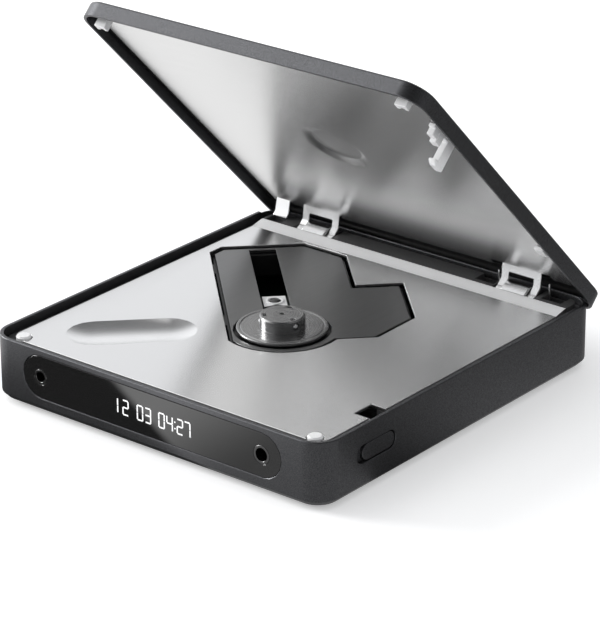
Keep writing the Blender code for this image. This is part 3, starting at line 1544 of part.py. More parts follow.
def battery_pack():
    mesh = bmesh.new()
    low = FLOOR + FIT
    centre = (BATTERY_X, BATTERY_Y)
    rings = []
    for inset, height in (
        (BATTERY_EDGE, low),
        (0.0, low + BATTERY_EDGE),
        (0.0, low + BATTERY_HEIGHT - BATTERY_EDGE),
        (BATTERY_EDGE, low + BATTERY_HEIGHT),
    ):
        outline = rounded_rect(BATTERY_WIDTH, BATTERY_DEPTH, 2 * BATTERY_EDGE, inset, centre, 3)
        rings.append([(x, y, height) for x, y in outline])
    loft(mesh, rings)
    return piece("battery_pack", mesh, "copper_foil")


# Lid release

def flange_x():
    return WALL_FACE_X - FIT


def slider_x():
    return flange_x() - FLANGE_THICK - FIT - SLIDER_THICK / 2


def release_middle():
    return RELEASE_Y + (RELEASE_SLOT_LENGTH - RELEASE_LENGTH) / 2 - FIT


def catch_rear():
    return HOOK_ARM_FRONT - FIT


def catch_front():
    return catch_rear() - CATCH_WIDTH


def slider_front():
    return release_middle() - FLANGE_LENGTH / 2


def latch_spring_front():
    return slider_front() - 2 * RELEASE_TRAVEL - SPRING_STOP


def release_button():
    mesh = bmesh.new()
    middle = (release_middle(), RELEASE_Z)
    outline = pill(RELEASE_LENGTH, RELEASE_SLOT_HEIGHT - 2 * FIT, middle)
    prism(mesh, outline, flange_x() - FLANGE_THICK / 2, WIDTH / 2 - RELEASE_SINK, along_x)
    button = piece("release_button", mesh, "anodised")
    flange = bmesh.new()
    half = FLANGE_LENGTH / 2
    rise = RELEASE_SLOT_HEIGHT / 2 + FIT
    outline = rectangle((middle[0] - half, RELEASE_Z - rise), (middle[0] + half, RELEASE_Z + rise))
    prism(flange, outline, flange_x() - FLANGE_THICK, flange_x(), along_x)
    add(button, helper("release_flange", flange))
    return button


def latch_slider():
    """Plate behind the button with a column and a tongue that holds the lid's hook."""
    mesh = bmesh.new()
    rise = RELEASE_SLOT_HEIGHT / 2
    low_x = slider_x() - SLIDER_THICK / 2
    high_x = slider_x() + SLIDER_THICK / 2
    rear = release_middle() + FLANGE_LENGTH / 2 - SLIDER_THICK
    outline = rectangle((slider_front(), RELEASE_Z - rise), (rear, RELEASE_Z + rise))
    prism(mesh, outline, low_x, high_x, along_x)
    slider = piece("latch_slider", mesh, "bright_metal")
    column = bmesh.new()
    block(column, (low_x, catch_front(), RELEASE_Z), (high_x, catch_rear(), CATCH_TOP))
    add(slider, helper("slider_column", column))
    tongue = bmesh.new()
    block(
        tongue,
        (low_x - SLIDER_REACH, catch_front(), CATCH_TOP - CATCH_THICK),
        (low_x + FIT, catch_rear(), CATCH_TOP),
    )
    add(slider, helper("slider_tongue", tongue))
    return slider


def latch_spring():
    """Return spring of the release, between the frame's stop and the slider."""
    start = latch_spring_front() + LATCH_SPRING_WIRE
    end = slider_front() - FIT - LATCH_SPRING_WIRE
    axis_point = Vector((0.0, slider_x(), RELEASE_Z))
    coil = helix_points(LATCH_SPRING_RADIUS, end - start, LATCH_SPRING_CURLS, 0.0, axis_point, 1)
    middle = (start + end) / 2
    points = [Vector((point.y, middle + point.x, point.z)) for point in coil]
    gap = least_gap(points, LATCH_SPRING_WIRE, SPRING_STEPS)
    print("latch_spring least gap to itself, mm:", round(gap * 1000, 3))
    centre = Vector((slider_x(), middle, RELEASE_Z))
    return wire("latch_spring", points, LATCH_SPRING_WIRE, "bright_metal", centre)


# Lid

def lid_shell(lid):
    mesh = bmesh.new()
    skin = LID_TOP - LID_SKIN
    rings = []
    for inset, height in (
        (LID_WALL, skin),
        (LID_WALL, LID_BOTTOM),
        (0.0, LID_BOTTOM),
        (0.0, LID_TOP - LID_EDGE),
        (LID_EDGE, LID_TOP),
    ):
        rings.append([(x, y, height) for x, y in body_outline(inset)])
    loft(mesh, rings)
    shell = piece("lid_shell", mesh, "anodised", lid, HINGE)
    holes = bmesh.new()
    for x in key_places():
        outline = pill(KEY_LENGTH + 2 * KEY_FIT, KEY_WIDTH + 2 * KEY_FIT, (x, KEY_Y))
        prism(holes, outline, skin - OVERRUN, LID_TOP + OVERRUN)
    cut(shell, helper("key_holes", holes, lid, HINGE))
    return shell


def key_places():
    return [(index - (KEY_COUNT - 1) / 2) * KEY_PITCH for index in range(KEY_COUNT)]


def keypad(lid):
    """Seven keys moulded on one thin mat under the lid's skin."""
    mesh = bmesh.new()
    low = PLATE_BOTTOM + PLATE_THICK + KEY_MAT_GAP
    length = (KEY_COUNT - 1) * KEY_PITCH + KEY_LENGTH + 2 * KEY_MAT_EDGE
    width = KEY_WIDTH + 2 * KEY_MAT_EDGE
    outline = rounded_rect(length, width, KEY_WIDTH / 4, 0.0, (0.0, KEY_Y), 2)
    prism(mesh, outline, low, low + KEY_MAT_THICK)
    mat = piece("keypad", mesh, "anodised", lid, HINGE)
    keys = bmesh.new()
    top = LID_TOP + KEY_PROUD
    for x in key_places():
        rings = []
        for inset, height in ((0.0, low + KEY_MAT_THICK / 2), (0.0, top - KEY_EDGE), (KEY_EDGE, top)):
            outline = pill(KEY_LENGTH - 2 * inset, KEY_WIDTH - 2 * inset, (x, KEY_Y), SMALL_STEPS // 2)
            rings.append([(a, b, height) for a, b in outline])
        loft(keys, rings)
    add(mat, helper("key_tops", keys, lid, HINGE))
    return mat


def lid_plate(lid):
    mesh = bmesh.new()
    middle = (0.0, (PLATE_FRONT + PLATE_REAR) / 2)
    outline = rounded_rect(DECK_WIDTH, PLATE_REAR - PLATE_FRONT, DECK_CORNER, 0.0, middle)
    shape = [(x, y) for x, y in outline if y < middle[1]]
    strap_gap = STRAP_HALF + FIT
    guard_gap = GUARD_LENGTH / 2 + FIT
    notches = (
        (PLATE_NOTCH_RIGHT, PLATE_NOTCH_LEFT, PLATE_NOTCH_DEPTH),
        (strap_gap - HINGE_X, -strap_gap - HINGE_X, PLATE_NOTCH_DEPTH),
        (GUARD_X + guard_gap, GUARD_X - guard_gap, GUARD_NOTCH_DEPTH),
    )
    shape.append((DECK_WIDTH / 2, PLATE_REAR))
    for right, left, depth in notches:
        notch = PLATE_REAR - depth
        shape += [(right, PLATE_REAR), (right, notch), (left, notch), (left, PLATE_REAR)]
    shape.append((-DECK_WIDTH / 2, PLATE_REAR))
    prism(mesh, shape, PLATE_BOTTOM, PLATE_BOTTOM + PLATE_THICK)
    plate = piece("lid_plate", mesh, "satin_steel", lid, HINGE)
    boss = bmesh.new()
    dome = PLATE_BOTTOM + RING_DEPTH + PLATE_THICK
    spot = (0.0, SPINDLE_Y)
    profile = (
        (RING_OUTER + PLATE_THICK, PLATE_BOTTOM + PLATE_THICK / 2),
        (RING_OUTER + PLATE_THICK, PLATE_BOTTOM + PLATE_THICK),
        (RING_INNER + PLATE_THICK, dome),
    )
    turned(boss, profile, spot, steps=2 * ROUND_STEPS)
    add(plate, helper("ring_boss", boss, lid, HINGE))
    dish = bmesh.new()
    profile = (
        (RING_OUTER, PLATE_BOTTOM - OVERRUN),
        (RING_OUTER, PLATE_BOTTOM),
        (RING_INNER, PLATE_BOTTOM + RING_DEPTH),
    )
    turned(dish, profile, spot, steps=2 * ROUND_STEPS)
    cut(plate, helper("ring_dish", dish, lid, HINGE))
    return plate


def lid_channel(lid):
    """Black frame between the lid plate and the lid's walls."""
    mesh = bmesh.new()
    low = PLATE_BOTTOM + CHANNEL_RISE
    prism(mesh, body_outline(LID_WALL + FIT), low, low + CHANNEL_THICK)
    channel = piece("lid_channel", mesh, "black_plastic", lid, HINGE)
    opening = bmesh.new()
    middle = (0.0, (CHANNEL_OPENING_FRONT + CHANNEL_OPENING_REAR) / 2)
    depth = CHANNEL_OPENING_REAR - CHANNEL_OPENING_FRONT
    outline = rounded_rect(CHANNEL_OPENING_WIDTH, depth, DECK_CORNER, 0.0, middle)
    prism(opening, outline, low - OVERRUN, low + CHANNEL_THICK + OVERRUN)
    cut(channel, helper("channel_opening", opening, lid, HINGE))
    return channel


def front_post(name, side, lid):
    """White post that meets the bumper when the lid is shut."""
    mesh = bmesh.new()
    half = FRONT_POST_WIDTH / 2
    front = FRONT_POST_Y - FRONT_POST_DEPTH / 2
    rear = front + FRONT_POST_DEPTH
    x = side * FRONT_POST_X
    groove = FRONT_POST_NOTCH
    outline = [
        (x - half, front),
        (x + half, front),
        (x + half, rear),
        (x + groove, rear),
        (x + groove, rear - groove),
        (x - groove, rear - groove),
        (x - groove, rear),
        (x - half, rear),
    ]
    prism(mesh, outline, BUMPER_TOP + FIT, PLATE_BOTTOM - FIT)
    return piece(name, mesh, "white_plastic", lid, HINGE)


def latch_hook(lid):
    mesh = bmesh.new()
    high = PLATE_BOTTOM - FIT
    base = high - HOOK_BASE_THICK
    nose = HOOK_ARM_FRONT - HOOK_NOSE
    profile = [
        (HOOK_BASE_FRONT, high),
        (HOOK_BASE_FRONT, base),
    ]
    for (far, near), rise in reversed(tuple(zip(HOOK_BLOCK_PLACES, HOOK_BLOCK_RISES))):
        front = HOOK_ARM_REAR - far
        rear = HOOK_ARM_REAR - near
        low = DECK_TOP + rise
        profile += [(front, base), (front, low), (rear, low), (rear, base)]
    profile += [
        (HOOK_ARM_FRONT, base),
        (HOOK_ARM_FRONT, HOOK_TIP + HOOK_NOSE_HEIGHT),
        (nose, HOOK_TIP + HOOK_NOSE_HEIGHT),
        (nose, HOOK_TIP + HOOK_NOSE_HEIGHT / 2),
        (HOOK_ARM_FRONT, HOOK_TIP),
        (HOOK_ARM_REAR, HOOK_TIP),
        (HOOK_ARM_REAR, high),
    ]
    start = HOOK_X - HOOK_THICK / 2
    prism(mesh, profile, start, start + HOOK_THICK, along_x)
    return piece("latch_hook", mesh, "white_plastic", lid, HINGE)


def lid_clip(lid):
    mesh = bmesh.new()
    high = PLATE_BOTTOM - FIT
    block(
        mesh,
        (CLIP_X - CLIP_WIDTH / 2, CLIP_Y - CLIP_DEPTH / 2, high - CLIP_THICK),
        (CLIP_X + CLIP_WIDTH / 2, CLIP_Y + CLIP_DEPTH / 2, high),
    )
    return piece("lid_clip", mesh, "white_plastic", lid, HINGE)


def build():
    clear_scene()
    lid = pivot("lid_axis", HINGE, -OPEN_ANGLE, "X")
    lid["centre"] = tuple(HINGE)
    mechanism = pivot("mechanism_axis", SPINDLE, MECH_TURN, "Z")
    mechanism["centre"] = tuple(ORIGIN)

    base_shell()
    for index, centre in enumerate(foot_places()):
        rubber_foot("rubber_foot_" + str(index + 1), centre)
    antenna_cover()
    deck_plate()
    inner_frame()
    for name, side, ends in zip(("left", "right"), (-1, 1), pin_ends()):
        hinge_pin("hinge_pin_" + name, ends)
        hinge_knuckle("hinge_knuckle_" + name, side)
        hinge_strap("hinge_strap_" + name, side, lid)
        deck_bumper("deck_bumper_" + name, side)
        front_post("front_post_" + name, side, lid)
    lid_spring("lid_spring_inner", SPRING_CENTRES[0], 1)
    lid_spring("lid_spring_outer", SPRING_CENTRES[1], -1)

    mechanism_cover(mechanism)
    mechanism_chassis(mechanism)
    for index in range(len(DAMPER_UV)):
        rubber_damper(index, mechanism)
    guide_rod(mechanism)
    spindle_motor(mechanism)
    turntable(mechanism)
    for index in range(len(BALL_ANGLES)):
        clamp_ball(index, mechanism)
    pickup_sled(mechanism)
    lens_holder(mechanism)
    objective_lens(mechanism)
    lead_screw(mechanism)
    sled_motor(mechanism)

    front_window()
    display_module()
    jack("front_jack_small", SMALL_JACK_X, WINDOW_Z, SMALL_RING, SMALL_BORE, -1)
    jack("front_jack_large", LARGE_JACK_X, WINDOW_Z, LARGE_RING, LARGE_BORE, -1)
    jack("rear_jack_small", REAR_SMALL_X, REAR_JACK_Z, SMALL_RING, SMALL_BORE, 1)
    jack("rear_jack_large", REAR_LARGE_X, REAR_JACK_Z, LARGE_RING, LARGE_BORE, 1)
    usb_socket("usb_socket_left", USB_CENTRES[1])
    usb_socket("usb_socket_right", USB_CENTRES[0])
    for index, centre in enumerate(SWITCH_CENTRES):
        switch_knob("switch_knob_" + str(index + 1), centre)
    main_board()
    for index, centre in enumerate(board_screw_places()):
        board_screw("board_screw_" + str(index + 1), centre)
    battery_pack()
    release_button()
    latch_slider()
    latch_spring()

    lid_shell(lid)
    lid_plate(lid)
    lid_channel(lid)
    latch_hook(lid)
    lid_clip(lid)
    cable_guard(lid)
    keypad(lid)


build()
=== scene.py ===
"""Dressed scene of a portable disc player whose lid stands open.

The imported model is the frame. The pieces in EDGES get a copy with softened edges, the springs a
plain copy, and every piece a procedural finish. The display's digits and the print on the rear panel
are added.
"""

import json
import math

import bmesh
import bpy
from mathutils import Matrix, Vector

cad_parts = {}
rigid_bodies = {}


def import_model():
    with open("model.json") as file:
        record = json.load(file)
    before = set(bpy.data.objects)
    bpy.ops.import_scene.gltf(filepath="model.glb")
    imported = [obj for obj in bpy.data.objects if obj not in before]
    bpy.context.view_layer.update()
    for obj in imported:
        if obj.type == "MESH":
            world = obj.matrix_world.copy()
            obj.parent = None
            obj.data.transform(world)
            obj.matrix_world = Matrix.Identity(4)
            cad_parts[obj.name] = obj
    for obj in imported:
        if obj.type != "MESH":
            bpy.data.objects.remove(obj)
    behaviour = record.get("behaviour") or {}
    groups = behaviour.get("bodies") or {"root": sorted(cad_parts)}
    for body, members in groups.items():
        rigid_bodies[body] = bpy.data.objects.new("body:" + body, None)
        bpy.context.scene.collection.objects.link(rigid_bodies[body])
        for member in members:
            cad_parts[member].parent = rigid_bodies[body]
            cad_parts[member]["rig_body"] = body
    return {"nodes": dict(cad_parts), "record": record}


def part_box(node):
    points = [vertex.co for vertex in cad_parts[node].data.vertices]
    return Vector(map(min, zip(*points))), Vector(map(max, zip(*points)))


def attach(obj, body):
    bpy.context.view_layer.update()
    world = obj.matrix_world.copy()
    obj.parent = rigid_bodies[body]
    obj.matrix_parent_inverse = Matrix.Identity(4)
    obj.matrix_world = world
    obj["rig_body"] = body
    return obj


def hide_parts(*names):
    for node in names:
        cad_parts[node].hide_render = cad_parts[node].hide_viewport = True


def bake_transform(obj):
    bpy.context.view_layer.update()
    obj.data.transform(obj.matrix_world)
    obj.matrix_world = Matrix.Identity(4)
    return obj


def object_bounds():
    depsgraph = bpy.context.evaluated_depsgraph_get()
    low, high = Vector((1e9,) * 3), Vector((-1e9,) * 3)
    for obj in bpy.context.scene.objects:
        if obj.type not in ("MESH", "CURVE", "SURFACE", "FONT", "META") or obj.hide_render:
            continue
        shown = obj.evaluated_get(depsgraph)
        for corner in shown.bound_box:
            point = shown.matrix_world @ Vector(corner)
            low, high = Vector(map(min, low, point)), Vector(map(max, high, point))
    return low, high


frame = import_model()
CAD_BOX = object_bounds()

NODES = frame["nodes"]
SLOTS = {part["node"]: part["material_slot"] for part in frame["record"]["subparts"]}

MM = 0.001

# Camera, solved from the photograph's edges
CAMERA_PLACE = Vector((0.6153, -0.7545, 0.4430))
CAMERA_AZIMUTH = math.radians(39.12)
CAMERA_ELEVATION = math.radians(23.46)
CAMERA_ROLL = math.radians(-0.28)
CAMERA_LENS = 184.6
CAMERA_CLIP = (0.05, 20.0)
SENSOR = 36.0

# Studio. Each pair of ends gives a place on an axis and the level there, in shares of white.
# SHEET, PATCH and SIDE are lit areas on the floor and SKY is the world, as reflections see them.
FLOOR_HALF = 3.0
FLOOR_COLOUR = 0.86
FLOOR_ROUGHNESS = 0.7
FLOOR_GLOW = 0.35
FLOOR_DARK = 0.06
SHEET_ACROSS = ((-0.10, 1.0), (0.16, 0.15))
SHEET_ALONG = ((-0.045, 0.0), (0.03, 1.0))
PATCH_POINT = (-0.0277, -0.096)
PATCH_TURN = math.radians(-28.2)
PATCH_EDGE = ((-0.002, 1.0), (0.002, 0.0))
PATCH_FALL = ((-0.025, 1.3), (0.03, 0.35))
SIDE_ACROSS = ((-0.105, 1.0), (-0.085, 0.0))
SKY_ACROSS = ((-0.7, 1.12), (0.5, 0.20))
SKY_UP = ((0.42, 1.0), (0.66, 0.16))
SKY_DIFFUSE = 0.7
SKY_COLOUR = (0.97, 0.98, 1.0, 1.0)
LIGHT_TARGET = (0.0, 0.0, 0.02)
LIGHTS = {
    "key": ((-0.9, -0.3, 1.1), (0.9, 0.9), 3.5),
    "front": ((-1.3, -0.5, 0.5), (0.5, 0.5), 16.0),
}
WHITE = (1.0, 1.0, 1.0, 1.0)

# Edge softening
MERGE = 0.00001
FLAT_ANGLE = math.radians(1.0)
BEVEL_ANGLE = math.radians(40)
SMOOTH_ANGLE = math.radians(40)
CRISP_ANGLE = math.radians(9)
CRISP_NODES = ("deck_plate", "lid_plate")
BEVEL_SEGMENTS = 2

# Faces with a second finish (near-white on the deck's ramp, a painted highlight), and the springs:
# moving body, axis and the fixed end's place on it
RAMP_START = 55.0 * MM
RAMP_NORMAL = 0.9
LENS_RING_REACH = 3.1 * MM
LENS_RING_RISE = 0.45 * MM
SPRING_GRIP = 0.6 * MM
SPRINGS = {
    "lid_spring_inner": ("lid", 0, 26.3 * MM),
    "lid_spring_outer": ("lid", 0, 60.0 * MM),
    "latch_spring": ("release", 1, -60.5 * MM),
}

# The thumb scallop in the deck, as the solid has it
DECK_TOP = 19.9 * MM
DISH_NORMAL = 0.5
SCALLOP_CENTRE = (-35.9 * MM, -39.65 * MM)
SCALLOP_ANGLE = math.radians(45)
SCALLOP_HALF = 11.75 * MM
SCALLOP_RADIUS = 9.6 * MM
SCALLOP_DEPTH = 1.6 * MM
SCALLOP_SHARES = (0.97, 0.93, 0.87, 0.80, 0.72, 0.63, 0.53, 0.42, 0.30, 0.17, 0.05)

# Edge radius of each refined piece, in metres
EDGES = {
    "base_shell": 0.00022,
    "lid_shell": 0.00020,
    "deck_plate": 0.00015,
    "lid_plate": 0.00010,
    "lid_channel": 0.00010,
    "mechanism_cover": 0.00012,
    "mechanism_chassis": 0.00012,
    "turntable": 0.00008,
    "lens_holder": 0.00010,
    "hinge_strap_left": 0.00018,
    "hinge_strap_right": 0.00018,
    "cable_guard": 0.00018,
    "hinge_knuckle_left": 0.00012,
    "hinge_knuckle_right": 0.00012,
    "latch_hook": 0.00025,
    "lid_clip": 0.00025,
    "front_post_left": 0.00020,
    "front_post_right": 0.00020,
    "front_window": 0.00010,
    "front_jack_small": 0.00010,
    "front_jack_large": 0.00010,
    "rear_jack_small": 0.00010,
    "rear_jack_large": 0.00010,
    "release_button": 0.00020,
    "latch_slider": 0.00012,
    "keypad": 0.00012,
    "antenna_cover": 0.00020,
    "usb_socket_left": 0.00008,
    "usb_socket_right": 0.00008,
    "pickup_sled": 0.00020,
}

# Digits on the window, and print on the rear panel, whose places across are as seen from behind
CORNER_STEPS = 5
WINDOW_FRONT = -71.9 * MM
DIGIT_PROUD = 0.03 * MM
DIGIT_LOW = 9.3 * MM
DIGIT_HEIGHT = 5.4 * MM
DIGIT_WIDTH = 2.7 * MM
DIGIT_STROKE = 0.50 * MM
DIGIT_GAP = 0.10 * MM
DIGIT_SEGMENTS = {"0": "abcdef", "1": "bc", "2": "abged", "3": "abgcd", "4": "fgbc", "7": "abc"}
DISPLAY_ROW = (
    ("1", -15.8 * MM),
    ("2", -11.4 * MM),
    ("0", -5.4 * MM),
    ("3", -2.1 * MM),
    ("0", 3.5 * MM),
    ("4", 6.8 * MM),
    ("2", 11.0 * MM),
    ("7", 14.0 * MM),
)
COLON_X = 10.05 * MM
COLON_SHARES = (0.3, 0.7)
REAR_FACE = 72.0 * MM
PRINT_PROUD = 0.02 * MM
PRINT_LINE = 0.16 * MM
PRINT_RADIUS = 0.7 * MM
PRINT_LOW = 2.2 * MM
PRINT_HEAD = 16.1 * MM
PRINT_HIGH = 19.6 * MM
PRINT_NUMBER_Z = 17.8 * MM
PRINT_GROUPS = (
    (-55.3 * MM, -41.6 * MM, -27.7 * MM),
    (-27.1 * MM, -12.3 * MM, -1.6 * MM),
    (-0.7 * MM, 14.5 * MM, 26.0 * MM),
)
NUMBER_SIZE = 2.2 * MM
WORD_SIZE = 1.9 * MM
SWITCH_WORD_Z = 10.7 * MM
SWITCH_WORDS = ((-9.2 * MM, -3.8 * MM), (17.6 * MM, 22.9 * MM))

# Finishes
CLOUD_SCALE = 60.0
GRAIN_DETAIL = 3.0
GRAIN_ROUGHNESS = 0.6
BRUSH_STRETCH = {"X": (60.0, 5200.0, 900.0), "Y": (5200.0, 60.0, 900.0)}
FINE_DEPTH = 0.00001
RING_SCALE = 4200.0
RING_BUMP = 0.08
SHEET_SPREAD = 0.03
SHEET_BUMP = 0.02
SHEET_TURN = 0.25
GLASS_GRAIN = 0.002
GLASS_ROUGH = (0.05, 0.08)
GLASS_RISE = 1.2
DIGIT_GLOW = 0.35

# Materials

def new_material(name):
    material = bpy.data.materials.new(name)
    material.use_nodes = True
    tree = material.node_tree
    return material, tree, tree.nodes["Principled BSDF"]


def object_coords(tree, scale=(1.0, 1.0, 1.0), place=(0.0, 0.0, 0.0)):
    coords = tree.nodes.new("ShaderNodeTexCoord")
    mapping = tree.nodes.new("ShaderNodeMapping")
    mapping.inputs["Scale"].default_value = scale
    mapping.inputs["Location"].default_value = place
    tree.links.new(coords.outputs["Object"], mapping.inputs["Vector"])
    return mapping.outputs["Vector"]


def noise(tree, vector, scale, detail=2.0, roughness=0.5):
    node = tree.nodes.new("ShaderNodeTexNoise")
    node.inputs["Scale"].default_value = scale
    node.inputs["Detail"].default_value = detail
    node.inputs["Roughness"].default_value = roughness
    tree.links.new(vector, node.inputs["Vector"])
    return node.outputs["Fac"]


def ramp(tree, factor, stops):
    node = tree.nodes.new("ShaderNodeValToRGB")
    elements = node.color_ramp.elements
    while len(elements) < len(stops):
        elements.new(0.5)
    for element, (place, colour) in zip(elements, stops):
        element.position = place
        element.color = (*colour, 1.0)
    tree.links.new(factor, node.inputs["Fac"])
    return node.outputs["Color"]


def spread(tree, factor, low, high):
    node = tree.nodes.new("ShaderNodeMapRange")
    node.inputs["To Min"].default_value = low
    node.inputs["To Max"].default_value = high
    tree.links.new(factor, node.inputs["Value"])
    return node.outputs["Result"]


def bump(tree, height, shader, strength, distance):
    node = tree.nodes.new("ShaderNodeBump")
    node.inputs["Strength"].default_value = strength
    node.inputs["Distance"].default_value = distance
    tree.links.new(height, node.inputs["Height"])
    tree.links.new(node.outputs["Normal"], shader.inputs["Normal"])


def grained(name, dark, light, grain, metallic, rough, bumpiness, depth=0.00002):
    """Fine-grained finish: blasted metal, moulded plastic or rubber."""
    material, tree, shader = new_material(name)
    vector = object_coords(tree)
    fine = noise(tree, vector, 1.0 / grain, GRAIN_DETAIL, GRAIN_ROUGHNESS)
    colour = ramp(tree, fine, ((0.32, dark), (0.68, light)))
    tree.links.new(colour, shader.inputs["Base Color"])
    cloud = noise(tree, vector, CLOUD_SCALE)
    tree.links.new(spread(tree, cloud, rough[0], rough[1]), shader.inputs["Roughness"])
    shader.inputs["Metallic"].default_value = metallic
    bump(tree, fine, shader, bumpiness, depth)
    return material


def brushed(name, dark, light, rough, along="X", metallic=1.0, strength=0.05):
    """Satin sheet metal with a faint grain along one axis."""
    material, tree, shader = new_material(name)
    vector = object_coords(tree, BRUSH_STRETCH[along])
    lines = noise(tree, vector, 1.0, GRAIN_DETAIL, GRAIN_ROUGHNESS)
    colour = ramp(tree, lines, ((0.25, dark), (0.75, light)))
    tree.links.new(colour, shader.inputs["Base Color"])
    tree.links.new(spread(tree, lines, rough[0], rough[1]), shader.inputs["Roughness"])
    shader.inputs["Metallic"].default_value = metallic
    bump(tree, lines, shader, strength, FINE_DEPTH)
    return material


def lathe_finish(name, dark, light, rough, centre):
    """Turned metal: faint rings about an upright axis."""
    material, tree, shader = new_material(name)
    vector = object_coords(tree, (1.0, 1.0, 0.0), (-centre[0], -centre[1], 0.0))
    length = tree.nodes.new("ShaderNodeVectorMath")
    length.operation = "LENGTH"
    tree.links.new(vector, length.inputs[0])
    rings = tree.nodes.new("ShaderNodeTexNoise")
    rings.noise_dimensions = "1D"
    rings.inputs["Scale"].default_value = RING_SCALE
    rings.inputs["Detail"].default_value = 2.0
    tree.links.new(length.outputs["Value"], rings.inputs["W"])
    fac = rings.outputs["Fac"]
    tree.links.new(ramp(tree, fac, ((0.3, dark), (0.7, light))), shader.inputs["Base Color"])
    tree.links.new(spread(tree, fac, rough[0], rough[1]), shader.inputs["Roughness"])
    shader.inputs["Metallic"].default_value = 1.0
    bump(tree, fac, shader, RING_BUMP, FINE_DEPTH)
    return material


def satin_sheet(name, level, rough, stretch):
    """Satin sheet whose reflections spread across its grain, which runs along X."""
    dark, light = grey(level - SHEET_SPREAD), grey(level + SHEET_SPREAD)
    material = brushed(name, dark, light, rough, "X", 1.0, SHEET_BUMP)
    tree = material.node_tree
    shader = tree.nodes["Principled BSDF"]
    grain = tree.nodes.new("ShaderNodeCombineXYZ")
    grain.inputs["X"].default_value = 1.0
    tree.links.new(grain.outputs["Vector"], shader.inputs["Tangent"])
    shader.inputs["Anisotropic"].default_value = stretch
    shader.inputs["Anisotropic Rotation"].default_value = SHEET_TURN
    return material


def dark_glass(name, level, index):
    material = grained(name, grey(level), grey(level * GLASS_RISE), GLASS_GRAIN, 0.0, GLASS_ROUGH, 0.0)
    material.node_tree.nodes["Principled BSDF"].inputs["IOR"].default_value = index
    return material


def grey(level):
    return (level, level, level)


def tinted(level, blue=1.06):
    return (level, level * 1.01, level * blue)


MATERIALS = {
    "anodised": grained("anodised", tinted(0.08), tinted(0.19), 0.00028, 0.95, (0.36, 0.44), 0.30),
    "satin_steel": satin_sheet("satin_steel", 0.82, (0.24, 0.28), 0.55),
    "dark_satin": brushed("dark_satin", grey(0.20), grey(0.23), (0.32, 0.36), "Y", 1.0, 0.01),
    "black_plastic": grained(
        "black_plastic", grey(0.006), grey(0.012), 0.0004, 0.0, (0.35, 0.5), 0.2
    ),
    "bright_metal": brushed("bright_metal", grey(0.84), grey(0.92), (0.20, 0.28), "Y", 1.0, 0.03),
    "white_plastic": grained(
        "white_plastic", grey(0.86), grey(0.92), 0.0006, 0.0, (0.25, 0.35), 0.1
    ),
    "black_glass": dark_glass("black_glass", 0.006, 1.9),
    "grey_rubber": grained("grey_rubber", grey(0.20), grey(0.28), 0.0003, 0.0, (0.6, 0.75), 0.4),
    "board": grained(
        "board", (0.004, 0.010, 0.006), (0.007, 0.016, 0.010), 0.002, 0.0, (0.35, 0.5), 0.1
    ),
    "copper_foil": grained("battery_wrap", grey(0.22), grey(0.32), 0.001, 0.2, (0.3, 0.45), 0.2),
    "lens_glass": dark_glass("lens_glass", 0.02, 1.7),
}
TURNED = lathe_finish("turned_metal", grey(0.30), grey(0.38), (0.2, 0.32), (0.0, -0.007))
LEDGE = grained("frame_black", grey(0.07), grey(0.10), 0.0003, 0.2, (0.4, 0.5), 0.2)
DARK_RING = brushed("dark_ring", grey(0.16), grey(0.22), (0.2, 0.3), "Y", 1.0, 0.02)
# Near-white rough colour on the deck's ramp faces: a painted highlight standing in for the bright line
# of reflected light along the ramp
RAMP_PAINTED_HIGHLIGHT = grained("ramp_satin", grey(0.94), grey(0.98), 0.0003, 0.1, (0.5, 0.6), 0.05)
DIGITS = grained("digit_white", grey(0.86), grey(0.90), 0.001, 0.0, (0.4, 0.5), 0.0)
DIGITS.node_tree.nodes["Principled BSDF"].inputs["Emission Color"].default_value = WHITE
DIGITS.node_tree.nodes["Principled BSDF"].inputs["Emission Strength"].default_value = DIGIT_GLOW
PRINT = grained("print_grey", grey(0.42), grey(0.50), 0.0008, 0.0, (0.5, 0.6), 0.0)
SPECIAL = {
    "turntable": TURNED,
    "inner_frame": LEDGE,
    "lens_holder": MATERIALS["black_plastic"],
    "front_jack_small": DARK_RING,
    "front_jack_large": DARK_RING,
    "rear_jack_small": DARK_RING,
    "rear_jack_large": DARK_RING,
}


def finish_of(node):
    return SPECIAL.get(node, MATERIALS[SLOTS[node]])


# Pieces with a second finish on some faces; the deck's ramp gets a near-white painted highlight

# Ramp faces that get the painted highlight
def on_ramp(face):
    return face.center.y > RAMP_START and face.normal.z > RAMP_NORMAL


def on_lens_ring(face):
    low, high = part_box("objective_lens")
    middle = (Vector(low) + Vector(high)) / 2
    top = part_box("lens_holder")[1][2]
    reach = (face.center - middle).to_2d().length
    return reach < LENS_RING_REACH and face.center.z > top - LENS_RING_RISE


ACCENTS = {
    "deck_plate": (RAMP_PAINTED_HIGHLIGHT, on_ramp),
    "lens_holder": (MATERIALS["white_plastic"], on_lens_ring),
}


# Refined copies of the CAD pieces

def link(name, data):
    piece = bpy.data.objects.new(name, data)
    bpy.context.scene.collection.objects.link(piece)
    return piece


def scallop_place(point):
    """Place along and across the scallop, from its middle."""
    x = point.x - SCALLOP_CENTRE[0]
    y = point.y - SCALLOP_CENTRE[1]
    turn_c, turn_s = math.cos(SCALLOP_ANGLE), math.sin(SCALLOP_ANGLE)
    return x * turn_c + y * turn_s, y * turn_c - x * turn_s


def scallop_point(along, across, height):
    turn_c, turn_s = math.cos(SCALLOP_ANGLE), math.sin(SCALLOP_ANGLE)
    x = SCALLOP_CENTRE[0] + along * turn_c - across * turn_s
    y = SCALLOP_CENTRE[1] + along * turn_s + across * turn_c
    return Vector((x, y, height))


def in_scallop(face):
    middle = face.calc_center_median()
    along, across = scallop_place(middle)
    beyond = max(0.0, abs(along) - SCALLOP_HALF)
    near = math.hypot(beyond, across) < SCALLOP_RADIUS
    return near and face.normal.z > DISH_NORMAL and middle.z < DECK_TOP - MERGE


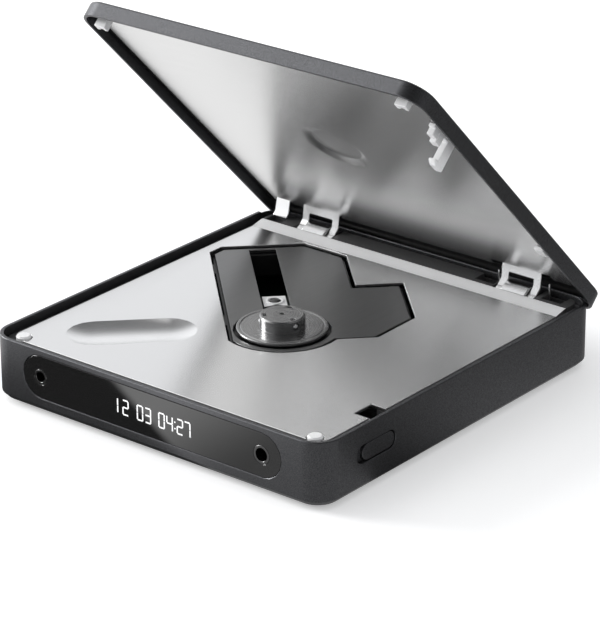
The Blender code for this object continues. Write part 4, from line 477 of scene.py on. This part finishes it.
def refine_scallop(mesh):
    """Lays close rings over the dish, whose section is a parabola."""
    dish = [face for face in mesh.faces if in_scallop(face)]
    chosen = set(dish)
    rim = set()
    for face in dish:
        for edge in face.edges:
            if any(other not in chosen for other in edge.link_faces):
                rim.update(edge.verts)
    outer = sorted(rim, key=lambda vertex: math.atan2(*reversed(scallop_place(vertex.co))))
    places = [scallop_place(vertex.co) for vertex in outer]
    bmesh.ops.delete(mesh, geom=dish, context="FACES")
    count = len(outer)
    for share in SCALLOP_SHARES:
        height = DECK_TOP - SCALLOP_DEPTH * (1.0 - share * share)
        inner = []
        for along, across in places:
            middle = max(-SCALLOP_HALF, min(SCALLOP_HALF, along))
            point = scallop_point(middle + (along - middle) * share, across * share, height)
            inner.append(mesh.verts.new(point))
        for index in range(count):
            after = (index + 1) % count
            mesh.faces.new((outer[index], outer[after], inner[after], inner[index]))
        outer = inner
    mesh.faces.new(outer)


def refined(node, width):
    source = NODES[node]
    data = source.data.copy()
    data.name = node + "_fine"
    mesh = bmesh.new()
    mesh.from_mesh(data)
    bmesh.ops.remove_doubles(mesh, verts=mesh.verts, dist=MERGE)
    bmesh.ops.dissolve_limit(mesh, angle_limit=FLAT_ANGLE, verts=mesh.verts, edges=mesh.edges)
    if node == "deck_plate":
        refine_scallop(mesh)
    mesh.to_mesh(data)
    mesh.free()
    data.materials.clear()
    data.materials.append(finish_of(node))
    if node in ACCENTS:
        finish, chosen = ACCENTS[node]
        data.materials.append(finish)
        for face in data.polygons:
            if chosen(face):
                face.material_index = 1
    data.shade_smooth()
    data.set_sharp_from_angle(angle=CRISP_ANGLE if node in CRISP_NODES else SMOOTH_ANGLE)
    piece = link(node + "_fine", data)
    soften = piece.modifiers.new("soft_edges", "BEVEL")
    soften.width = width
    soften.segments = BEVEL_SEGMENTS
    soften.limit_method = "ANGLE"
    soften.angle_limit = BEVEL_ANGLE
    soften.use_clamp_overlap = False
    soften.harden_normals = False
    soften.miter_outer = "MITER_ARC"
    even = piece.modifiers.new("even_shading", "WEIGHTED_NORMAL")
    even.keep_sharp = True
    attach(piece, source["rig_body"])
    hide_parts(node)


def sprung(node, moving, axis, fixed):
    """Copy of a spring with its finish, left where the model has it."""
    data = NODES[node].data.copy()
    data.materials.clear()
    data.materials.append(finish_of(node))
    data.shade_smooth()
    piece = link(node + "_fine", data)
    low, high = (Vector(corner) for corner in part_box(node))
    near, far = (low, high) if abs(low[axis] - fixed) < abs(high[axis] - fixed) else (high, low)
    start = (low + high) / 2
    end = start.copy()
    grip = math.copysign(SPRING_GRIP, far[axis] - near[axis])
    start[axis] = near[axis] + grip
    end[axis] = far[axis] - grip
    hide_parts(node)
    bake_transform(piece)


def dress_frame():
    for node, item in NODES.items():
        if node in EDGES:
            refined(node, EDGES[node])
        elif node in SPRINGS:
            sprung(node, *SPRINGS[node])
        else:
            item.data.materials.clear()
            item.data.materials.append(finish_of(node))


# Printed and lit marks

def bar(mesh, low, high):
    """Closed box between two corners."""
    (x0, y0, z0), (x1, y1, z1) = low, high
    corners = [(x, y, z) for z in (z0, z1) for x, y in ((x0, y0), (x1, y0), (x1, y1), (x0, y1))]
    verts = [mesh.verts.new(corner) for corner in corners]
    for ring in ((3, 2, 1, 0), (4, 5, 6, 7), (0, 1, 5, 4), (1, 2, 6, 5), (2, 3, 7, 6), (3, 0, 4, 7)):
        mesh.faces.new([verts[index] for index in ring])


def mark_piece(name, mesh, material):
    data = bpy.data.meshes.new(name)
    mesh.to_mesh(data)
    mesh.free()
    data.materials.append(material)
    piece = link(name, data)
    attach(piece, NODES["base_shell"]["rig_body"])


def digit_bars(kind):
    """Low and high corners of one digit's lit segments, in shares of its width and height."""
    stroke_x = DIGIT_STROKE / DIGIT_WIDTH
    stroke_z = DIGIT_STROKE / DIGIT_HEIGHT
    gap_x = DIGIT_GAP / DIGIT_WIDTH
    gap_z = DIGIT_GAP / DIGIT_HEIGHT
    left, right = (0.0, stroke_x), (1.0 - stroke_x, 1.0)
    across = (stroke_x / 2 + gap_x, 1.0 - stroke_x / 2 - gap_x)
    upper = (0.5 + gap_z, 1.0 - stroke_z / 2 - gap_z)
    lower = (stroke_z / 2 + gap_z, 0.5 - gap_z)
    middle = (0.5 - stroke_z / 2, 0.5 + stroke_z / 2)
    places = {
        "a": (across, (1.0 - stroke_z, 1.0)),
        "b": (right, upper),
        "c": (right, lower),
        "d": (across, (0.0, stroke_z)),
        "e": (left, lower),
        "f": (left, upper),
        "g": (across, middle),
    }
    return [places[letter] for letter in DIGIT_SEGMENTS[kind]]


def display_digits():
    mesh = bmesh.new()
    front, back = WINDOW_FRONT - DIGIT_PROUD, WINDOW_FRONT
    for kind, left in DISPLAY_ROW:
        for (x0, x1), (z0, z1) in digit_bars(kind):
            bar(
                mesh,
                (left + x0 * DIGIT_WIDTH, front, DIGIT_LOW + z0 * DIGIT_HEIGHT),
                (left + x1 * DIGIT_WIDTH, back, DIGIT_LOW + z1 * DIGIT_HEIGHT),
            )
    for share in COLON_SHARES:
        low = DIGIT_LOW + share * DIGIT_HEIGHT - DIGIT_STROKE / 2
        bar(mesh, (COLON_X, front, low), (COLON_X + DIGIT_STROKE, back, low + DIGIT_STROKE))
    mark_piece("display_digits", mesh, DIGITS)


def rounded_corners(low, high, radius):
    """Points of a rounded rectangle, anticlockwise, as (across, up)."""
    points = []
    centres = (
        (high[0] - radius, high[1] - radius),
        (low[0] + radius, high[1] - radius),
        (low[0] + radius, low[1] + radius),
        (high[0] - radius, low[1] + radius),
    )
    for quarter, (across, up) in enumerate(centres):
        for step in range(CORNER_STEPS + 1):
            angle = (quarter + step / CORNER_STEPS) * math.pi / 2
            points.append((across + radius * math.cos(angle), up + radius * math.sin(angle)))
    return points


def printed_frame(mesh, left, right):
    """Thin rounded line round one group on the rear panel; left and right as seen from behind."""
    half = PRINT_LINE / 2
    rings = []
    for grow in (half, -half):
        outline = rounded_corners(
            (left - grow, PRINT_LOW - grow), (right + grow, PRINT_HIGH + grow), PRINT_RADIUS + grow
        )
        for depth in (REAR_FACE, REAR_FACE + PRINT_PROUD):
            rings.append([mesh.verts.new((-across, depth, up)) for across, up in outline])
    outer_low, outer_high, inner_low, inner_high = rings
    count = len(outer_low)
    for index in range(count):
        after = (index + 1) % count
        for first, second in (
            (outer_low, outer_high), (outer_high, inner_high),
            (inner_high, inner_low), (inner_low, outer_low),
        ):
            mesh.faces.new((first[index], first[after], second[after], second[index]))


def rear_print():
    mesh = bmesh.new()
    half = PRINT_LINE / 2
    back = REAR_FACE + PRINT_PROUD
    for left, divider, right in PRINT_GROUPS:
        printed_frame(mesh, left, right)
        bar(
            mesh,
            (-divider - half, REAR_FACE, PRINT_LOW + half),
            (-divider + half, back, PRINT_HIGH - half),
        )
        for start, end in ((left + half, divider - half), (divider + half, right - half)):
            bar(mesh, (-end, REAR_FACE, PRINT_HEAD - half), (-start, back, PRINT_HEAD + half))
    bmesh.ops.recalc_face_normals(mesh, faces=mesh.faces)
    mark_piece("rear_print", mesh, PRINT)


def rear_word(name, text, across, up, size):
    """Printed numbers and switch positions, read from behind."""
    data = bpy.data.curves.new(name, "FONT")
    data.body = text
    data.size = size
    data.align_x = "CENTER"
    data.align_y = "CENTER"
    data.extrude = PRINT_PROUD
    data.materials.append(PRINT)
    piece = link(name, data)
    piece.location = (-across, REAR_FACE, up)
    piece.rotation_euler = (math.pi / 2, 0.0, math.pi)
    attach(piece, NODES["base_shell"]["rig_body"])


def rear_words():
    number = 1
    for left, divider, right in PRINT_GROUPS:
        for across in ((left + divider) / 2, (divider + right) / 2):
            name = "rear_number_" + str(number)
            rear_word(name, str(number), across, PRINT_NUMBER_Z, NUMBER_SIZE)
            number += 1
    for index, (on_place, off_place) in enumerate(SWITCH_WORDS):
        rear_word("switch_on_" + str(index + 1), "ON", on_place, SWITCH_WORD_Z, WORD_SIZE)
        rear_word("switch_off_" + str(index + 1), "OFF", off_place, SWITCH_WORD_Z, WORD_SIZE)


# Floor, lights and camera

def ray_kind(tree, kind):
    return tree.nodes.new("ShaderNodeLightPath").outputs[kind]


def gradient(tree, vector, axis, ends):
    """Level that runs smoothly between two places along one axis of a vector."""
    parts = tree.nodes.new("ShaderNodeSeparateXYZ")
    tree.links.new(vector, parts.inputs["Vector"])
    level = tree.nodes.new("ShaderNodeMapRange")
    level.interpolation_type = "SMOOTHSTEP"
    (first, first_level), (last, last_level) = ends
    level.inputs["From Min"].default_value = first
    level.inputs["From Max"].default_value = last
    level.inputs["To Min"].default_value = first_level
    level.inputs["To Max"].default_value = last_level
    tree.links.new(parts.outputs[axis], level.inputs["Value"])
    return level.outputs["Result"]


def combined(tree, operation, first, second):
    node = tree.nodes.new("ShaderNodeMath")
    node.operation = operation
    for socket, value in zip(node.inputs, (first, second)):
        if isinstance(value, float):
            socket.default_value = value
        else:
            tree.links.new(value, socket)
    return node.outputs["Value"]


def patch_level(tree, place):
    """A lit strip on the floor before the window, cut off along a slanting line."""
    turn = tree.nodes.new("ShaderNodeMapping")
    turn.vector_type = "TEXTURE"
    turn.inputs["Location"].default_value = (*PATCH_POINT, 0.0)
    turn.inputs["Rotation"].default_value = (0.0, 0.0, -PATCH_TURN)
    tree.links.new(place, turn.inputs["Vector"])
    local = turn.outputs["Vector"]
    edge = gradient(tree, local, "Y", PATCH_EDGE)
    fall = gradient(tree, place, "X", PATCH_FALL)
    return combined(tree, "MULTIPLY", edge, fall)


def floor_paint():
    """Pale floor. In reflections it is dark, with lit areas behind, on the left and in front."""
    material = bpy.data.materials.new("floor_paint")
    material.use_nodes = True
    tree = material.node_tree
    paint = tree.nodes["Principled BSDF"]
    paint.inputs["Base Color"].default_value = (*grey(FLOOR_COLOUR), 1.0)
    paint.inputs["Roughness"].default_value = FLOOR_ROUGHNESS
    paint.inputs["Emission Color"].default_value = WHITE
    glow = combined(tree, "MULTIPLY", ray_kind(tree, "Is Camera Ray"), FLOOR_GLOW)
    tree.links.new(glow, paint.inputs["Emission Strength"])
    place = tree.nodes.new("ShaderNodeNewGeometry").outputs["Position"]
    across = gradient(tree, place, "X", SHEET_ACROSS)
    along = gradient(tree, place, "Y", SHEET_ALONG)
    sheet = combined(tree, "MULTIPLY", across, along)
    sheet = combined(tree, "MAXIMUM", sheet, gradient(tree, place, "X", SIDE_ACROSS))
    level = combined(tree, "MAXIMUM", sheet, patch_level(tree, place))
    lit = tree.nodes.new("ShaderNodeEmission")
    tree.links.new(combined(tree, "MAXIMUM", level, FLOOR_DARK), lit.inputs["Strength"])
    mix = tree.nodes.new("ShaderNodeMixShader")
    tree.links.new(ray_kind(tree, "Is Glossy Ray"), mix.inputs["Fac"])
    tree.links.new(paint.outputs["BSDF"], mix.inputs[1])
    tree.links.new(lit.outputs["Emission"], mix.inputs[2])
    tree.links.new(mix.outputs["Shader"], tree.nodes["Material Output"].inputs["Surface"])
    return material


def floor():
    mesh = bmesh.new()
    bmesh.ops.create_grid(mesh, x_segments=1, y_segments=1, size=FLOOR_HALF)
    data = bpy.data.meshes.new("floor")
    mesh.to_mesh(data)
    mesh.free()
    data.materials.append(floor_paint())
    piece = link("floor", data)
    piece.location = (0.0, 0.0, CAD_BOX[0][2])


def area_light(name, place, size, power):
    data = bpy.data.lights.new(name, "AREA")
    data.shape = "RECTANGLE"
    data.size, data.size_y = size
    data.energy = power
    light = link(name, data)
    light.location = place
    light.rotation_euler = (Vector(LIGHT_TARGET) - Vector(place)).to_track_quat("-Z", "Y").to_euler()


def lights():
    world = bpy.data.worlds.new("studio")
    bpy.context.scene.world = world
    world.use_nodes = True
    tree = world.node_tree
    back = tree.nodes["Background"]
    back.inputs["Color"].default_value = SKY_COLOUR
    direction = tree.nodes.new("ShaderNodeTexCoord").outputs["Generated"]
    across = gradient(tree, direction, "X", SKY_ACROSS)
    seen = combined(tree, "MULTIPLY", across, gradient(tree, direction, "Z", SKY_UP))
    level = tree.nodes.new("ShaderNodeMix")
    level.inputs["A"].default_value = SKY_DIFFUSE
    tree.links.new(ray_kind(tree, "Is Glossy Ray"), level.inputs["Factor"])
    tree.links.new(seen, level.inputs["B"])
    white = combined(tree, "MAXIMUM", level.outputs["Result"], ray_kind(tree, "Is Camera Ray"))
    tree.links.new(white, back.inputs["Strength"])
    for name, (place, size, power) in LIGHTS.items():
        area_light(name, place, size, power)


def camera():
    data = bpy.data.cameras.new("camera")
    data.lens = CAMERA_LENS
    data.sensor_width = SENSOR
    data.sensor_fit = "AUTO"
    data.clip_start, data.clip_end = CAMERA_CLIP
    az, el = CAMERA_AZIMUTH, CAMERA_ELEVATION
    back = Vector((math.sin(az) * math.cos(el), -math.cos(az) * math.cos(el), math.sin(el)))
    right = Vector((0.0, 0.0, 1.0)).cross(back).normalized()
    up = back.cross(right)
    turn_c, turn_s = math.cos(CAMERA_ROLL), math.sin(CAMERA_ROLL)
    right, up = right * turn_c + up * turn_s, up * turn_c - right * turn_s
    piece = link("camera", data)
    piece.matrix_world = Matrix((
        (right.x, up.x, back.x, CAMERA_PLACE.x),
        (right.y, up.y, back.y, CAMERA_PLACE.y),
        (right.z, up.z, back.z, CAMERA_PLACE.z),
        (0.0, 0.0, 0.0, 1.0),
    ))
    bpy.context.scene.camera = piece


def main():
    camera()
    dress_frame()
    display_digits()
    rear_print()
    rear_words()
    floor()
    lights()
    bpy.context.scene.view_settings.view_transform = "Standard"


main()
